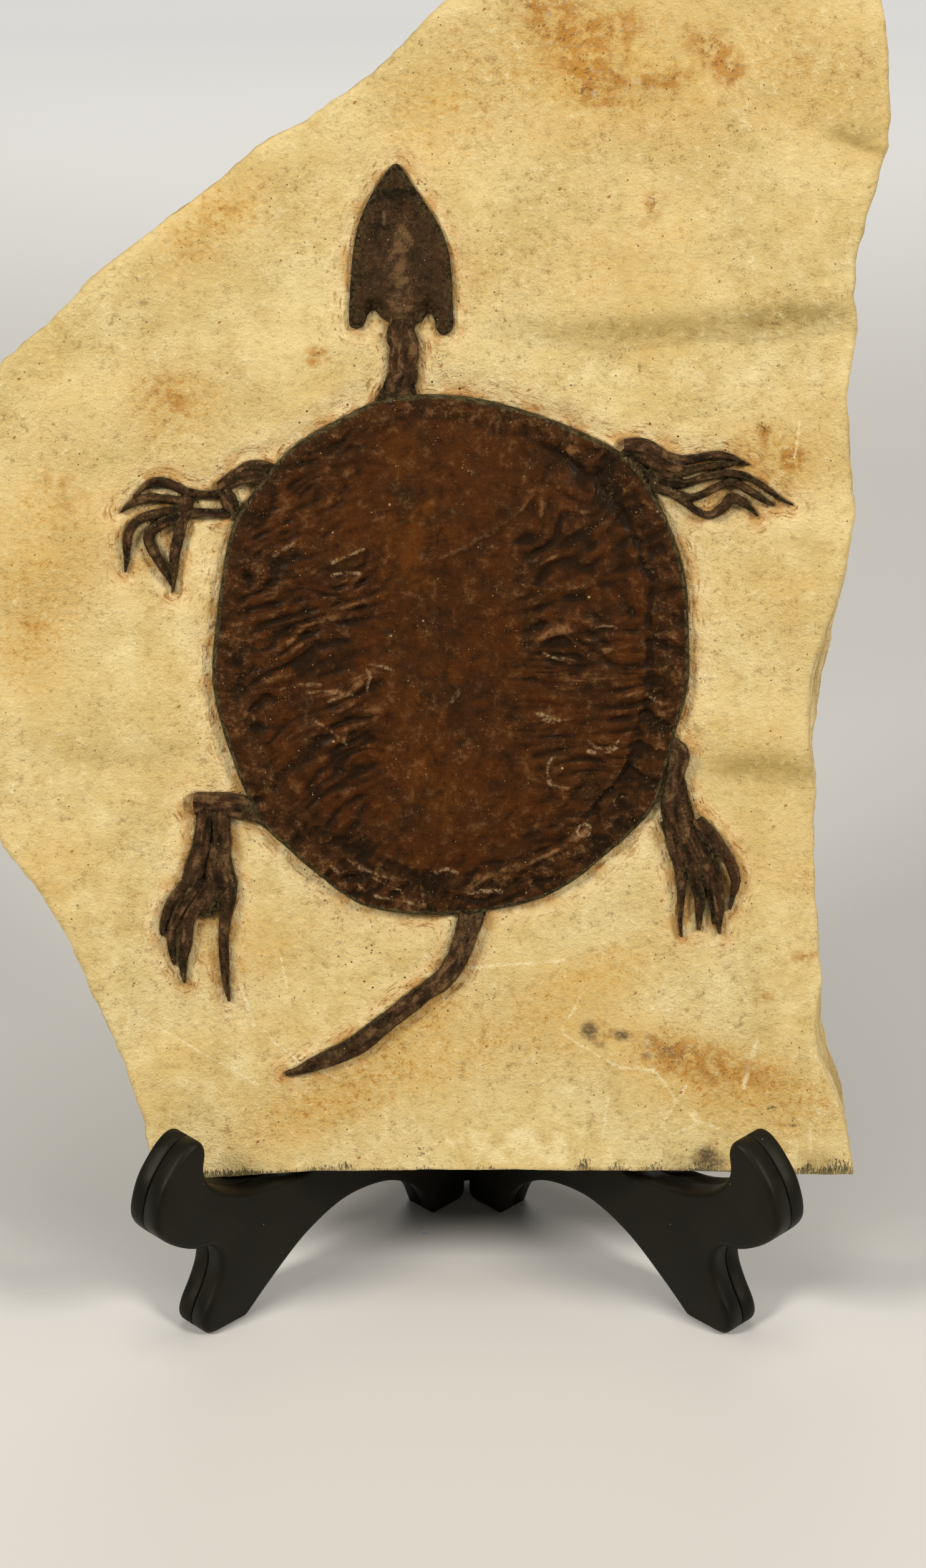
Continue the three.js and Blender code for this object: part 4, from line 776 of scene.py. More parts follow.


# %% [markdown]
# ## Stains in the stone
#
# Iron has wandered through the bed: rusty clusters at the top and lower right, a broad ochre
# glow under the tail, and black manganese trees along the foot. Olive patches lie along the
# ledges: partly olive staining, partly painted shade where a ledge's slope faces down. A stain
# is drawn as a soft patch with a place, two radii and a turn. The shader later breaks its
# edge with fine noise.

# %% The patches, as x, y, long radius, short radius, turn in degrees and strength
STAINS = {
    "rust": [
        (19.4, 250.5, 6.5, 5.5, 20, 1.0), (24, 244, 5.5, 6.5, 0, 0.85), (27.5, 238, 6.5, 4.2, -20, 1.0),
        (33, 250, 5.5, 4, 30, 0.7), (50, 246.5, 5, 3.5, -30, 0.9), (55, 241, 3.5, 3.5, 0, 1.0),
        (43, 239.6, 4.5, 3, 0, 0.8), (36, 238.5, 5, 2, -10, 0.7), (39.4, 213.8, 2.6, 2.2, 0, 0.9),
        (37, 210.5, 3.5, 2.4, 20, 0.5), (-32.4, 181.3, 2.6, 2.2, 10, 1.0),
        (63, 165.8, 1.5, 3.6, 10, 1.0), (69.5, 159.8, 3.6, 3.0, 0, 1.0), (12, 255, 6, 4, 0, 0.7),
        (-3, 248, 5, 5, 0, 0.55), (-53, 211, 7, 2.6, 35, 0.6), (-60, 203.5, 4, 2, 0, 0.6),
        (-64.5, 173, 6, 5, -20, 0.7), (-88, 153, 7, 4.5, -35, 0.6), (-50, 178, 5, 3.5, 0, 0.4),
        (-94, 124, 4.5, 5.5, 0, 0.5), (56.5, 25, 15, 4.6, -18, 0.75), (44, 28, 6, 3.4, -12, 1.0),
        (29, 33, 4, 2.6, -20, 0.7), (74, 50, 4, 2.4, 20, 0.7), (66, 41, 3, 1.8, 40, 0.6),
        (-57, 72, 2.4, 5, 0, 0.5), (-72, 64, 4.5, 2.4, 0, 0.4), (12, 191, 5, 3, 0, 0.35),
        (56, 157, 4, 2.4, -25, 0.6), (69, 171, 2.4, 2, 0, 0.6), (78, 93, 2, 4, 0, 0.5),
        (-68, 128, 3, 6, 0, 0.4),
    ],
    "ochre": [
        (-29, 18, 24, 7, 22, 0.7), (60, 21, 26, 9, -14, 0.75), (30, 46, 18, 6, 24, 0.5),
        (-12, 36, 14, 6, 42, 0.6), (-54, 210, 16, 8, 38, 0.6), (-62, 172, 14, 9, -20, 0.55),
        (-90, 145, 14, 20, 0, 0.5), (-96, 120, 10, 14, 0, 0.5), (24, 244, 22, 15, 0, 0.6),
        (70, 243, 22, 16, 0, 0.45), (66, 160, 14, 8, -12, 0.6), (60, 70, 22, 12, 10, 0.35),
        (40, 210, 34, 20, 0, 0.25), (-10, 232, 14, 12, 0, 0.45), (-52, 50, 14, 8, 0, 0.45),
        (-30, 60, 18, 9, 0, 0.3), (20, 200, 30, 9, 0, 0.25), (-66, 90, 16, 9, 0, 0.3),
        (10, 30, 18, 10, 20, 0.35), (70, 110, 9, 20, 0, 0.3),
    ],
    # partly olive staining, partly painted shade along the ledges where their slopes face down
    "olive_and_ledge_shade": [
        (66, 190, 20, 3.6, 6, 1.0), (40, 187.5, 18, 3.2, 2, 0.8), (14, 188, 14, 2.8, -6, 0.55),
        (82, 229, 6.5, 3.4, 0, 0.8), (83, 226, 8, 1.3, -20, 0.9), (63, 92.5, 13, 3.6, -3, 1.0),
        (75, 91.5, 6, 3.4, 0, 0.7), (-76, 94.5, 18, 3.0, -2, 0.5), (36, 203, 34, 2.4, 0, 0.35),
        (60, 250, 28, 12, 0, 0.3), (-64, 189, 16, 2.6, 4, 0.4), (-30, 188, 16, 2.4, 4, 0.35),
        (-60, 111, 8, 3, 30, 0.2), (6, 228, 20, 12, 0, 0.2), (-40, 38, 16, 2.5, 35, 0.2),
    ],
    "ink": [
        (56, 24, 9, 2.0, -20, 0.35), (66.3, 14.9, 3.2, 0.7, 20, 1.0), (72.5, 12, 0.9, 1.8, 0, 0.8),
        (-10.6, 5.6, 2.4, 1.8, 0, 0.8), (48, 33.6, 6, 1.2, -10, 0.6), (-14, 191, 16, 0.6, -4, 0.4),
        (6.5, 190.5, 5, 0.7, -48, 0.8), (8, 181, 4, 1.2, 0, 0.4), (-6, 181.5, 4, 2, 0, 0.6),
        (-17, 47, 3, 4, 40, 0.5), (-60, 60.5, 2, 2, 0, 0.4), (63, 166.4, 0.7, 2.0, 8, 1.0),
        (69.6, 160.4, 0.9, 0.8, 0, 1.0), (-69.5, 131, 1.8, 5, 20, 0.3), (30, 181, 4, 2, 0, 0.6),
        (-32, 179, 3, 5, 10, 0.4), (36.5, 179, 3.5, 1.8, 20, 0.6),
    ],
    "pale": [
        (80.5, 112, 4, 22, 0, 0.6), (82.5, 28, 4, 16, 0, 0.6), (5, 7, 14, 3.4, 0, 0.6),
        (-20, 7, 16, 2.4, 0, 0.3), (-66, 78, 2.4, 6, 0, 0.5), (42.4, 20.8, 2.0, 0.8, -50, 1.0),
        (49.6, 14.6, 2.0, 0.9, -45, 1.0), (58, 178, 26, 4, 4, 0.6), (20, 178, 20, 3.6, 2, 0.6),
        (-40, 176, 30, 4, 8, 0.3), (64, 84, 16, 4, 0, 0.3), (49, 122, 3, 30, 4, 0.6),
        (-40, 70, 12, 6, -44, 0.5), (30, 66, 14, 5, 44, 0.4), (-58, 115, 3, 30, 0, 0.5),
        (60, 42, 5, 0.7, -55, 0.8), (62.6, 26, 6.4, 0.8, 77, 0.9), (10, 33, 6, 0.5, 10, 0.6),
        (-53, 27, 12, 0.5, -32, 0.7), (-58, 33, 9, 0.5, -50, 0.6), (61, 13.6, 2.4, 0.7, 80, 0.8),
        (82, 36, 3, 12, 0, 0.5),
    ],
    "soot": [
        (26.7, 33.3, 1.9, 2.3, 15, 1.0), (33.9, 32.1, 1.9, 1.3, -15, 1.0),
        (29.3, 29.9, 1.8, 0.8, -20, 0.6), (39.9, 31.4, 2.4, 1.8, 0, 0.45),
        (39.5, 27.4, 1.7, 1.2, 0, 0.55), (44.9, 28.0, 2.2, 1.7, -20, 0.6),
        (50.4, 24.3, 2.0, 1.3, 0, 0.35), (56.8, 31.6, 1.6, 1.0, 10, 0.4),
        (53.3, 4.7, 2.3, 2.0, -30, 1.0), (55.8, 2.6, 2.8, 1.6, 0, 0.7), (50.8, 3.0, 1.6, 1.2, 0, 0.5),
        (75.8, 2.3, 1.2, 1.2, 0, 0.4),
    ],
}
FLECKED = [  # where dark flecks lie thick: middle and radii
    ((-30, 190), (7, 16)), ((-2, 180), (14, 7)), ((26, 174), (16, 7)), ((-28, 174), (10, 6)),
    ((52, 164), (8, 6)), ((-62, 152), (12, 10)), ((2, 194), (7, 9)), ((-66, 66), (8, 14)),
    ((-18, 48), (14, 8)), ((58, 76), (7, 12)), ((-14, 42), (24, 7)),
]
TREES = [  # tallest manganese trees: place along the foot, half width and height
    (25.8, 1.6, 3.6), (33.6, 2.4, 1.6), (41.3, 2.4, 1.6), (52, 3.5, 1.6), (75.8, 1.6, 1.8),
    (80.4, 1.4, 2.8), (84.2, 2.4, 3.4), (-31, 5, 1.6), (-27.6, 1.2, 1.4), (-19.4, 1.2, 1.6),
    (-14.9, 1.2, 1.4), (-10, 1.6, 1.2), (-49.4, 1.6, 0.8), (4, 3, 0.8),
]
CHIPS = [  # crisp pale chips: middle, half width, half height
    ((72, 5.4), (1.8, 3.6)), ((11.5, 6.4), (11.4, 4.2)), ((-6, 8.5), (5, 2.2)),
]


def stains(x, y):
    """How strong each kind of stain is at each point, from 0 to 1."""
    strengths = {}
    for kind, patches in STAINS.items():
        clear = np.ones(x.shape)
        for px, py, long, short, turn, strength in patches:
            c, s = math.cos(math.radians(turn)), math.sin(math.radians(turn))
            u = ((x - px) * c + (y - py) * s) / long
            v = ((y - py) * c - (x - px) * s) / short
            clear *= 1 - strength * np.exp(-0.7 * (u * u + v * v))
        strengths[kind] = 1 - clear
    for (px, py), (wide, high) in CHIPS:
        reach = np.maximum(np.abs(x - px) / wide, np.abs(y - py) / high) + 0.12 * lumps(x, y, 3, 270)
        strengths["pale"] = np.maximum(strengths["pale"], 0.85 * (1 - ease(reach, 0.88, 1.0)))
    strengths["flecked"] = sum(
        0.9 * np.exp(-(((x - px) / rx) ** 2) - ((y - py) / ry) ** 2) for (px, py), (rx, ry) in FLECKED
    )
    strengths["trees"] = sum(tall * np.exp(-(((x - at) / wide) ** 2)) for at, wide, tall in TREES)
    return strengths


print("stain patches:", {kind: len(patches) for kind, patches in STAINS.items()})

# %% [markdown]
# ## Limestone as a material
#
# Clean limestone is cream, slightly mottled, dusty and almost without shine. Over it come the
# stains, each cut up by noise of its own scale, then the preparator's fine tool strokes, and a
# peppering of tiny black and brown specks that is thicker near the bones. On broken edges the
# beds show as fine lines.

# %% The stone's colours
STONE = {
    "cream": paint(212, 187, 124), "light cream": paint(225, 203, 144), "warm cream": paint(217, 180, 106),
    "rubbed": paint(236, 217, 162), "dull": paint(196, 165, 98), "scraped": paint(238, 213, 158),
    "ochre": paint(205, 164, 86), "deep ochre": paint(176, 118, 40), "olive_and_ledge_shade": paint(158, 134, 72),
    "rust": paint(180, 126, 48), "rust core": paint(116, 66, 20), "pale": paint(238, 220, 166),
    "soot": paint(72, 56, 42), "ink": paint(64, 50, 34), "tree": paint(66, 62, 42),
    # the first two colours below are painted light: shade for the grain's hollows, highlight for its crests
    "pit_shade": paint(136, 100, 52), "crest": paint(252, 238, 192), "pepper": paint(128, 88, 44),
    # the last colour below is painted shade: a thin dark line on the stone against each bone
    "glow": paint(198, 146, 72), "stroke": paint(160, 110, 50), "bone_edge_shade": paint(112, 80, 42),
    "scratch": paint(240, 224, 176), "brown speck": paint(150, 92, 36), "dot": paint(92, 60, 30),
    "dash": paint(80, 54, 28), "speck": paint(54, 38, 24),
    "dark bed": paint(176, 148, 92), "light bed": paint(236, 212, 156),
}
print("stone colours:", len(STONE))


# %% Clean stone and its stains
def clean_stone(f, place, broad, middle, worked):
    """Mottled cream, lighter where it was scraped."""
    colour = f.mix(STONE["cream"], STONE["light cream"], broad.ramp(0.36, 0.62))
    colour = f.mix(colour, STONE["warm cream"], f.cloud(place, 42, 4, 0.6).ramp(0.48, 0.66) * 0.4)
    colour = f.mix(colour, STONE["rubbed"], middle.ramp(0.5, 0.7) * 0.4)
    colour = f.mix(colour, STONE["dull"], middle.ramp(0.48, 0.3) * 0.4)
    return f.mix(colour, STONE["scraped"], worked * (0.45 + middle.ramp(0.35, 0.6) * 0.4))


def stained(f, colour, place, middle, small):
    """Each stain's measure is broken up by noise before it tints the stone."""
    ochre = f.measure("ochre") * (0.5 + middle.ramp(0.36, 0.62) * 0.4 + small.ramp(0.42, 0.62) * 0.3)
    colour = f.mix(colour, STONE["ochre"], ochre.ramp(0.05, 0.7) * 0.85)
    colour = f.mix(colour, STONE["deep ochre"], (ochre * small.ramp(0.5, 0.66)).ramp(0.3, 0.8) * 0.7)
    # olive patches: partly staining, partly painted shade on the ledges' downward slopes
    olive_and_ledge_shade = f.measure("olive_and_ledge_shade") * (0.6 + middle.ramp(0.35, 0.6) * 0.4)
    colour = f.mix(colour, STONE["olive_and_ledge_shade"], olive_and_ledge_shade.ramp(0.08, 1.1) * 0.85)
    seeds = f.cloud(place, 3.2, 4, 0.62, 0.3)
    rust = f.measure("rust") * (0.35 + seeds.ramp(0.36, 0.64) * 0.8)
    colour = f.mix(colour, STONE["rust"], rust.ramp(0.15, 0.9) * 0.85)
    rust_core = f.measure("rust") * f.cloud(place, 1.1, 5, 0.72).ramp(0.48, 0.62)
    colour = f.mix(colour, STONE["rust core"], rust_core.ramp(0.35, 0.9) * 0.8)
    pale = f.measure("pale") * (0.35 + middle.ramp(0.35, 0.6) * 0.65)
    colour = f.mix(colour, STONE["pale"], pale.ramp(0.2, 1.0) * 0.75)
    soot = f.measure("soot") * (0.7 + f.cloud(place, 0.9, 4, 0.7).ramp(0.36, 0.6) * 0.4)
    return f.mix(colour, STONE["soot"], soot.ramp(0.15, 0.95) * 0.85)


# %% The grain of the stone and the preparator's marks
SCRATCHES = [  # pale tool marks: from, to, width
    ((21, 32.2), (33.4, 24.7), 0.3), ((33.4, 24.7), (41.3, 24.2), 0.45),
    ((41.3, 24.2), (46.2, 17.3), 0.5), ((46.2, 17.3), (50.5, 12.7), 0.45),
    ((50.5, 12.7), (55.9, 10.7), 0.4), ((48.5, 20.5), (45.1, 15.1), 0.3),
    ((45.1, 15.1), (41.3, 8.7), 0.3), ((31, 17.9), (29.9, 8.7), 0.35),
    ((64.1, 32.2), (61.2, 20.3), 0.6), ((52.4, 12.3), (45.9, 9.5), 0.3),
    ((76.2, 11.9), (76.3, 5.1), 0.3), ((24.6, 40.8), (22.4, 36.4), 0.4),
    ((-50.6, 43.5), (-47.5, 34.2), 0.4), ((-47.5, 34.2), (-38, 26.2), 0.36),
    ((-38, 26.2), (-29.5, 22.4), 0.3), ((-73.5, 36.5), (-46, 20.3), 0.34),
    ((-41.5, 49.5), (-40.2, 43), 0.3), ((71, 168), (70, 160), 0.3),
    ((46.5, 60), (47.7, 55), 0.35), ((0, 47.5), (21, 49.2), 0.4),
]


def grained(f, colour, place, rocky, lively):
    """Painted shade in the small hollows and painted highlight on the small crests of the noise that also
    raises the bump.
    """
    colour = f.mix(colour, STONE["pit_shade"], rocky.ramp(0.48, 0.3) * lively * 0.62)
    colour = f.mix(colour, STONE["crest"], rocky.ramp(0.53, 0.72) * lively * 0.5)
    pepper = f.grains(place, 1.15, 0.3, 0.17) * f.cloud(place, 5, 3).ramp(0.4, 0.58)
    return f.mix(colour, STONE["pepper"], pepper * 0.75)


def scraped(f, colour, place, strokes, worked, near):
    """Near the bones: a brown glow and brown stroke marks."""
    glow = near.ramp(4.5, 0.3) * f.cloud(place, 5, 4).ramp(0.42, 0.6)
    colour = f.mix(colour, STONE["glow"], glow * 0.75)
    brown = worked.ramp(0, 0.5) * strokes.ramp(0.51, 0.6) * near.ramp(7.0, 1.0)
    brown = brown * f.cloud(place, 3.2, 4, 0.6).ramp(0.46, 0.58)
    return f.mix(colour, STONE["stroke"], brown * 0.85)


def scratched(f, colour, place, middle, small, fine):
    """Pale scratches, each a straight line that the noise bends and breaks."""
    broken = fine.ramp(0.3, 0.55) * middle.ramp(0.3, 0.52)
    for start, end, width in SCRATCHES:
        line = f.line_distance(place, start, end) + (small - 0.5) * 1.9
        colour = f.mix(colour, STONE["scratch"], line.ramp(width * 1.5, 0) * broken * 0.75)
    return colour


# %% Specks and manganese trees
def dark_specks(f, place, dense):
    """The blackest grains, thickest where `dense` is high."""
    return f.grains(place, 1.5, 0.5, 0.2) * f.cloud(place, 4, 3).ramp(0.44, 0.58) * dense


def speckled(f, colour, place, dense, specks):
    """Brown grains and dots, dark dashes and grains, and ink in the pores."""
    brown = f.grains(f.stretched(place, 1, 1.5, 1, 0.6), 2.8, 0.3, 0.15)
    brown = brown * f.cloud(place, 11, 3).ramp(0.46, 0.6)
    colour = f.mix(colour, STONE["brown speck"], brown * 0.85)
    dots = f.grains(place, 1.9, 0.45, 0.14) * f.cloud(place, 9, 3).ramp(0.42, 0.56)
    colour = f.mix(colour, STONE["dot"], dots * 0.85)
    dashes = f.cloud(f.stretched(place, 0.45, 1.6, 1, 2.2), 1, 4, 0.65).ramp(0.6, 0.66)
    dashes = dashes * f.cloud(place, 5, 3).ramp(0.44, 0.58)
    colour = f.mix(colour, STONE["dash"], dashes * (dense - 0.08) * 0.55)
    colour = f.mix(colour, STONE["speck"], specks * 0.95)
    ink = f.measure("ink") * f.cloud(place, 1.0, 5, 0.7).ramp(0.44, 0.6)
    return f.mix(colour, STONE["ink"], ink.ramp(0.3, 0.8) * 0.85)


def with_trees(f, colour, place):
    """Manganese trees on the foot: upright twigs, thinning out as they climb."""
    x, y, out = (f.node("SeparateXYZ", None, {0: place}, axis) for axis in "XYZ")
    tall = f.measure("trees") * 1.3 + 0.9 + f.cloud(f.node("CombineXYZ", None, {0: x / 2.4}), 1, 2) * 1.6
    twigs = f.cloud(f.stretched(place, 0.42, 1.5, 9, math.pi / 2), 1, 5, 0.75, 0.6)
    climb = (y / tall).ramp(1.0, 0.1)
    trees = twigs.ramp(0.59 - climb * 0.17, 0.62 - climb * 0.17)
    return f.mix(colour, STONE["tree"], trees * climb.ramp(0.0, 0.15) * out.ramp(-3.4, -2.2) * 0.9)


# %% The whole finish of the stone, and the slab itself
def limestone():
    f = Finish("cream limestone", Specular_IOR_Level=0.25)
    place = f.place()
    x, y = (f.node("SeparateXYZ", None, {0: place}, axis) for axis in "XY")
    worked, near, edge_on = f.measure("worked"), f.measure("near"), f.measure("edge_on")
    broad, middle = f.cloud(place, 24, 4), f.cloud(place, 6, 5, 0.62)
    small, fine = f.cloud(place, 1.5, 4, 0.62), f.cloud(place, 0.45, 3, 0.6)
    rocky = f.cloud(place, 2.2, 5, 0.78)
    lively = 0.55 + f.cloud(place, 26, 2).ramp(0.36, 0.62) * 0.45
    # strokes run round the bones: this noise changes quickly with the distance from them
    strokes = f.node("CombineXYZ", None, {0: x / 3.4, 1: y / 3.4, 2: near / 0.55 + middle * 4})
    strokes = f.cloud(strokes, 1, 3, 0.6)
    dense = (0.12 + worked.ramp(0.02, 0.5) * 0.6 + f.measure("flecked")).math("MINIMUM", 1.0)
    specks = dark_specks(f, place, dense)

    colour = clean_stone(f, place, broad, middle, worked)
    colour = stained(f, colour, place, middle, small)
    colour = grained(f, colour, place, rocky, lively)
    colour = scraped(f, colour, place, strokes, worked, near)
    # painted shade: a thin dark line on the stone right against each bone, where the crevice is in shadow
    bone_edge_shade = near.ramp(0.6, 0.05) * (0.3 + small.ramp(0.38, 0.6) * 0.7)
    colour = f.mix(colour, STONE["bone_edge_shade"], bone_edge_shade * 0.7)
    colour = scratched(f, colour, place, middle, small, fine)
    colour = speckled(f, colour, place, dense, specks)
    colour = with_trees(f, colour, place)
    layers = f.cloud(f.stretched(place, 14, 14, 0.42), 1, 5, 0.6)
    beds_shown = f.mix(STONE["dark bed"], STONE["light bed"], layers.ramp(0.34, 0.64))
    colour = f.mix(colour, beds_shown, edge_on * 0.8)

    grit = rocky * 1.5 * lively + f.cloud(place, 1.1, 3, 0.5) * 0.3 + fine * 0.2
    grit = grit + worked * strokes * 0.35 + layers * edge_on - specks * 0.3
    roughness = 0.9 - f.measure("ink") * 0.1 + (fine - 0.5) * 0.1
    return f.finish(colour, roughness, grit, 0.6)


make_slab(limestone())

# %% [markdown]
# ## The shell
#
# The carapace was crushed flat, so its ribs show as creases. Down the middle it is smooth. On
# both flanks run wrinkles: those on the left climb towards the middle, those on the right lie
# nearly level and fan out at the top. Round the edge is a rim of small plates, a step lower,
# parted from the middle by a groove. Half-millimetre triangles can hold all of this as real
# shape, and only the finest grain is left to the material.

# %% The shell's lines
SHELL_MIDDLE = np.array([-4.0, 116.3])
RIM_PLATES = 22
RIM_RADIUS = 52  # mean distance of the rim from the middle
INNER_EDGE = smooth_line([  # where the rim of small plates meets the middle
    [5.8, 165.6], [-4.2, 167.1], [-14.9, 167], [-26.2, 164], [-36, 158.4], [-42, 150.6], [-45.2, 140.5],
    [-46.6, 129.8], [-47, 116.3], [-46.2, 105.4], [-43.6, 96.2], [-37.6, 85.6], [-29, 78], [-21.4, 73],
    [-15.2, 70.4], [-9.4, 69.3], [2.5, 69.5], [10.4, 71.6], [19.6, 76.2], [26, 82.6], [32.4, 90.3],
    [36.3, 98.5], [38.2, 106], [39.4, 116.3], [39, 125.8], [37.5, 136.6], [33.8, 146.4], [27.4, 154.6],
    [21, 160], [14.2, 163.2],
], 5, closed=True)
CRESCENTS = [  # bowed lips of bone: centre, radius, first and last direction in degrees
    (29.5, 101.5, 4.6, 200, 340), (19, 108, 5.2, 220, 290), (22, 92, 5, 120, 240),
    (21, 124, 7.5, 215, 290), (29, 117, 7, 50, 120), (-32, 113, 6, 270, 330), (-26, 112, 4.5, 320, 50),
    (-20, 70, 5.5, 200, 250), (25, 79, 1.3, 0, 359),
]
FOLDS = [  # single ridges: line, half width, height and how pale
    ([(-6, 138.8), (-2.4, 140.4), (2.5, 143.1), (7.4, 145.9), (11.4, 149.4), (14.6, 153.4)], 0.7, 0.5, 0.3),
    ([(13.4, 126.6), (17, 125.4), (20.4, 123), (22.8, 120.2), (26.4, 118.8), (32, 119), (38, 120)],
     0.45, 0.4, 0.35),
    ([(-29.4, 137.7), (-25.4, 139.4), (-21, 141.4)], 0.45, 0.4, 0.8),
    ([(-29.4, 135), (-26.8, 135.6), (-23.6, 135.4)], 0.5, 0.4, 0.9),
    ([(-42, 139), (-39, 141), (-35.7, 143.3)], 0.5, 0.5, 0.6),
    ([(-41, 110), (-36.4, 111.2), (-32, 111.2)], 0.4, 0.4, 0.7),
    ([(-36, 109.2), (-31, 109.9), (-25.2, 109)], 0.4, 0.35, 0.7),
    ([(-21.8, 115.8), (-19.3, 115.4), (-16.4, 114.5)], 0.5, 0.35, 1.0),
    ([(-33.6, 103.5), (-30.4, 101.4), (-26.6, 98.2)], 0.35, 0.35, 0.8),
    ([(-27.6, 104.6), (-26.6, 101.4), (-27, 98)], 0.35, 0.3, 0.4),
    ([(-20.9, 68.2), (-18, 66.6), (-15, 65.3)], 0.45, 0.4, 1.0),
    ([(-20.6, 64), (-16.4, 63.4), (-12.4, 62.4)], 0.45, 0.4, 1.0),
    ([(-30.2, 71), (-28.4, 69), (-26.8, 66.6)], 0.4, 0.3, 0.8),
    ([(-11.1, 72.3), (-10.5, 67), (-9.8, 61.8)], 0.35, 0.35, 0.6),
    ([(12.8, 71.6), (13.2, 69), (13.5, 66.4)], 0.35, 0.35, 0.5),
    ([(-16.5, 68.6), (-13.4, 67.6), (-10.8, 67.7)], 0.4, 0.35, 0.8),
    ([(-7, 69.6), (-5, 70.4), (-2.6, 69.4)], 0.6, 0.3, 0.9),
    ([(-1.3, 64.6), (4.4, 69), (15.8, 72.6), (26, 78.8)], 0.9, 0.6, 0.45),
    ([(-26.9, 72.6), (-23.8, 70.4), (-18, 68.3), (-12.8, 67.6)], 0.7, 0.45, 0.7),
    ([(-0.4, 64.5), (3, 65.3), (7, 65.2)], 0.35, 0.35, 1.0),
    ([(26, 84), (32.6, 91.4), (36.4, 99)], 0.4, 0.45, 0.4),
    ([(25.8, 96.6), (29, 96), (33.2, 97.6)], 0.4, 0.4, 0.9),
    ([(15, 104.9), (18, 103.9), (22.3, 103.4)], 0.5, 0.4, 1.0),
    ([(15.6, 91.4), (17.6, 89.2), (21.6, 88.4)], 0.45, 0.4, 0.7),
    ([(38, 136.4), (41.4, 136.8), (44.3, 136.4)], 0.4, 0.4, 0.4),
    ([(38.8, 122.4), (41.6, 121.4), (44.6, 121.2)], 0.5, 0.45, 0.5),
    ([(38.4, 108.9), (41.4, 106.8), (44.6, 106.3)], 0.5, 0.4, 0.6),
    ([(36.2, 99.6), (39.6, 98), (42.6, 96.8)], 0.4, 0.35, 0.3),
    ([(31.5, 150.4), (33.6, 152.8), (36.8, 155)], 0.5, 0.5, 0.3),
    ([(25, 156.8), (27, 159.6), (29, 161.6)], 0.4, 0.4, 0.3),
    ([(-37.5, 123.6), (-33, 124.4), (-29.4, 126), (-24.8, 128.6)], 0.6, 0.4, 0.1),
    ([(11, 133), (18, 131.4), (25, 132.6), (33, 135)], 0.5, 0.4, 0.2),
    ([(14, 113.4), (21, 112.4), (28, 112), (36, 112.6)], 0.45, 0.35, 0.2),
    ([(-3.6, 112), (-1.9, 110.2), (-3.9, 107.6)], 0.5, 0.2, 0.6),
]
print("inner edge points:", len(INNER_EDGE), "lips:", len(CRESCENTS), "single ridges:", len(FOLDS))


# %% Wrinkles on the flanks
def wrinkle_direction(x, y):
    """The way the wrinkles run, in radians from level."""
    cx, cy = SHELL_MIDDLE
    left = 17 + 0.42 * np.clip(cy - 8 - y, 0, 60) + 0.35 * np.clip(y - cy - 12, 0, 40)
    right = 2 + 1.0 * np.clip(y - cy - 10, 0, 45) + 0.5 * np.clip(cy - 12 - y, 0, 50)
    share = ease(x, cx - 12, cx + 12)
    return np.radians(left * (1 - share) + right * share)


def folds(along, across, size, length, seed):
    """Creases across a sheet: each rises softly on its upper side and drops sharply on its lower."""
    phase = across / size + 1.25 * lumps(along / (length * size), across / size, 1.6, seed)
    part = phase - np.floor(phase)
    tall = 0.6 + 0.4 * lumps(along / (length * size), np.floor(phase) * 3.7, 1.0, seed + 1)
    return tall * np.where(part < 0.3, ease(part, 0, 0.3), 1 - ease(part, 0.45, 1.0)) * 2 - 0.9


def flank_wrinkles(x, y, flank):
    """Height of the wrinkles on both flanks, and the place across them."""
    u, v = x - SHELL_MIDDLE[0], y - SHELL_MIDDLE[1]
    turn = wrinkle_direction(x, y)
    along, across = u * np.cos(turn) + v * np.sin(turn), v * np.cos(turn) - u * np.sin(turn)
    across = across + 0.9 * lumps(x, y, 15, 200)
    strength = flank * np.clip(0.85 + 0.5 * lumps(x, y, 12, 212), 0.4, 1.3)
    coarse, fine = folds(along, across, 4.4, 1.8, 204), folds(along, across + 1.7, 2.1, 2.6, 208)
    grain = 0.3 * rough(x, y, 2.6, 216, 2)
    drawn_grain = 0.3 * rough(along / 3, across, 1.5, 217, 2)
    return strength * (0.42 * coarse + 0.32 * fine + grain + drawn_grain), across


# %% Lips and single ridges on the shell
LIP_WIDTH = 0.32
LIP_HEIGHT = 0.4


def ridges_and_lips(x, y):
    """Height of the lips and single folds, and how pale they are."""
    lips = np.zeros(x.shape)
    for px, py, radius, first, last in CRESCENTS:
        bearing = (np.degrees(np.arctan2(y - py, x - px)) - first) % 360
        span = (last - first) % 360
        on = ease(bearing, 0, 25) * (1 - ease(bearing, span - 25, span)) * (bearing < span)
        ring = np.hypot(x - px, y - py) + 0.5 * lumps(x, y, 3, 230)
        lips = np.maximum(lips, on * np.exp(-(((ring - radius) / LIP_WIDTH) ** 2)))
    ridges = LIP_HEIGHT * lips
    wander = 0.35 * lumps(x, y, 2.6, 234)
    for line, width, tall, paleness in FOLDS:
        on = np.exp(-(((distance_to(np.array(line), x, y, closed=False) + wander) / width) ** 2))
        ridges, lips = np.maximum(ridges, tall * on), np.maximum(lips, paleness * on**2)
    return ridges, lips


# %% The rim of small plates
def plate_joints(x, y):
    """Distance in mm, along the rim, from the nearest joint between two plates."""
    u, v = x - SHELL_MIDDLE[0], y - SHELL_MIDDLE[1]
    bearing = np.arctan2(v, u) * RIM_PLATES / (2 * np.pi) + 0.35 * lumps(x, y, 14, 240)
    return np.abs(bearing - np.round(bearing)) * 2 * np.pi * RIM_RADIUS / RIM_PLATES


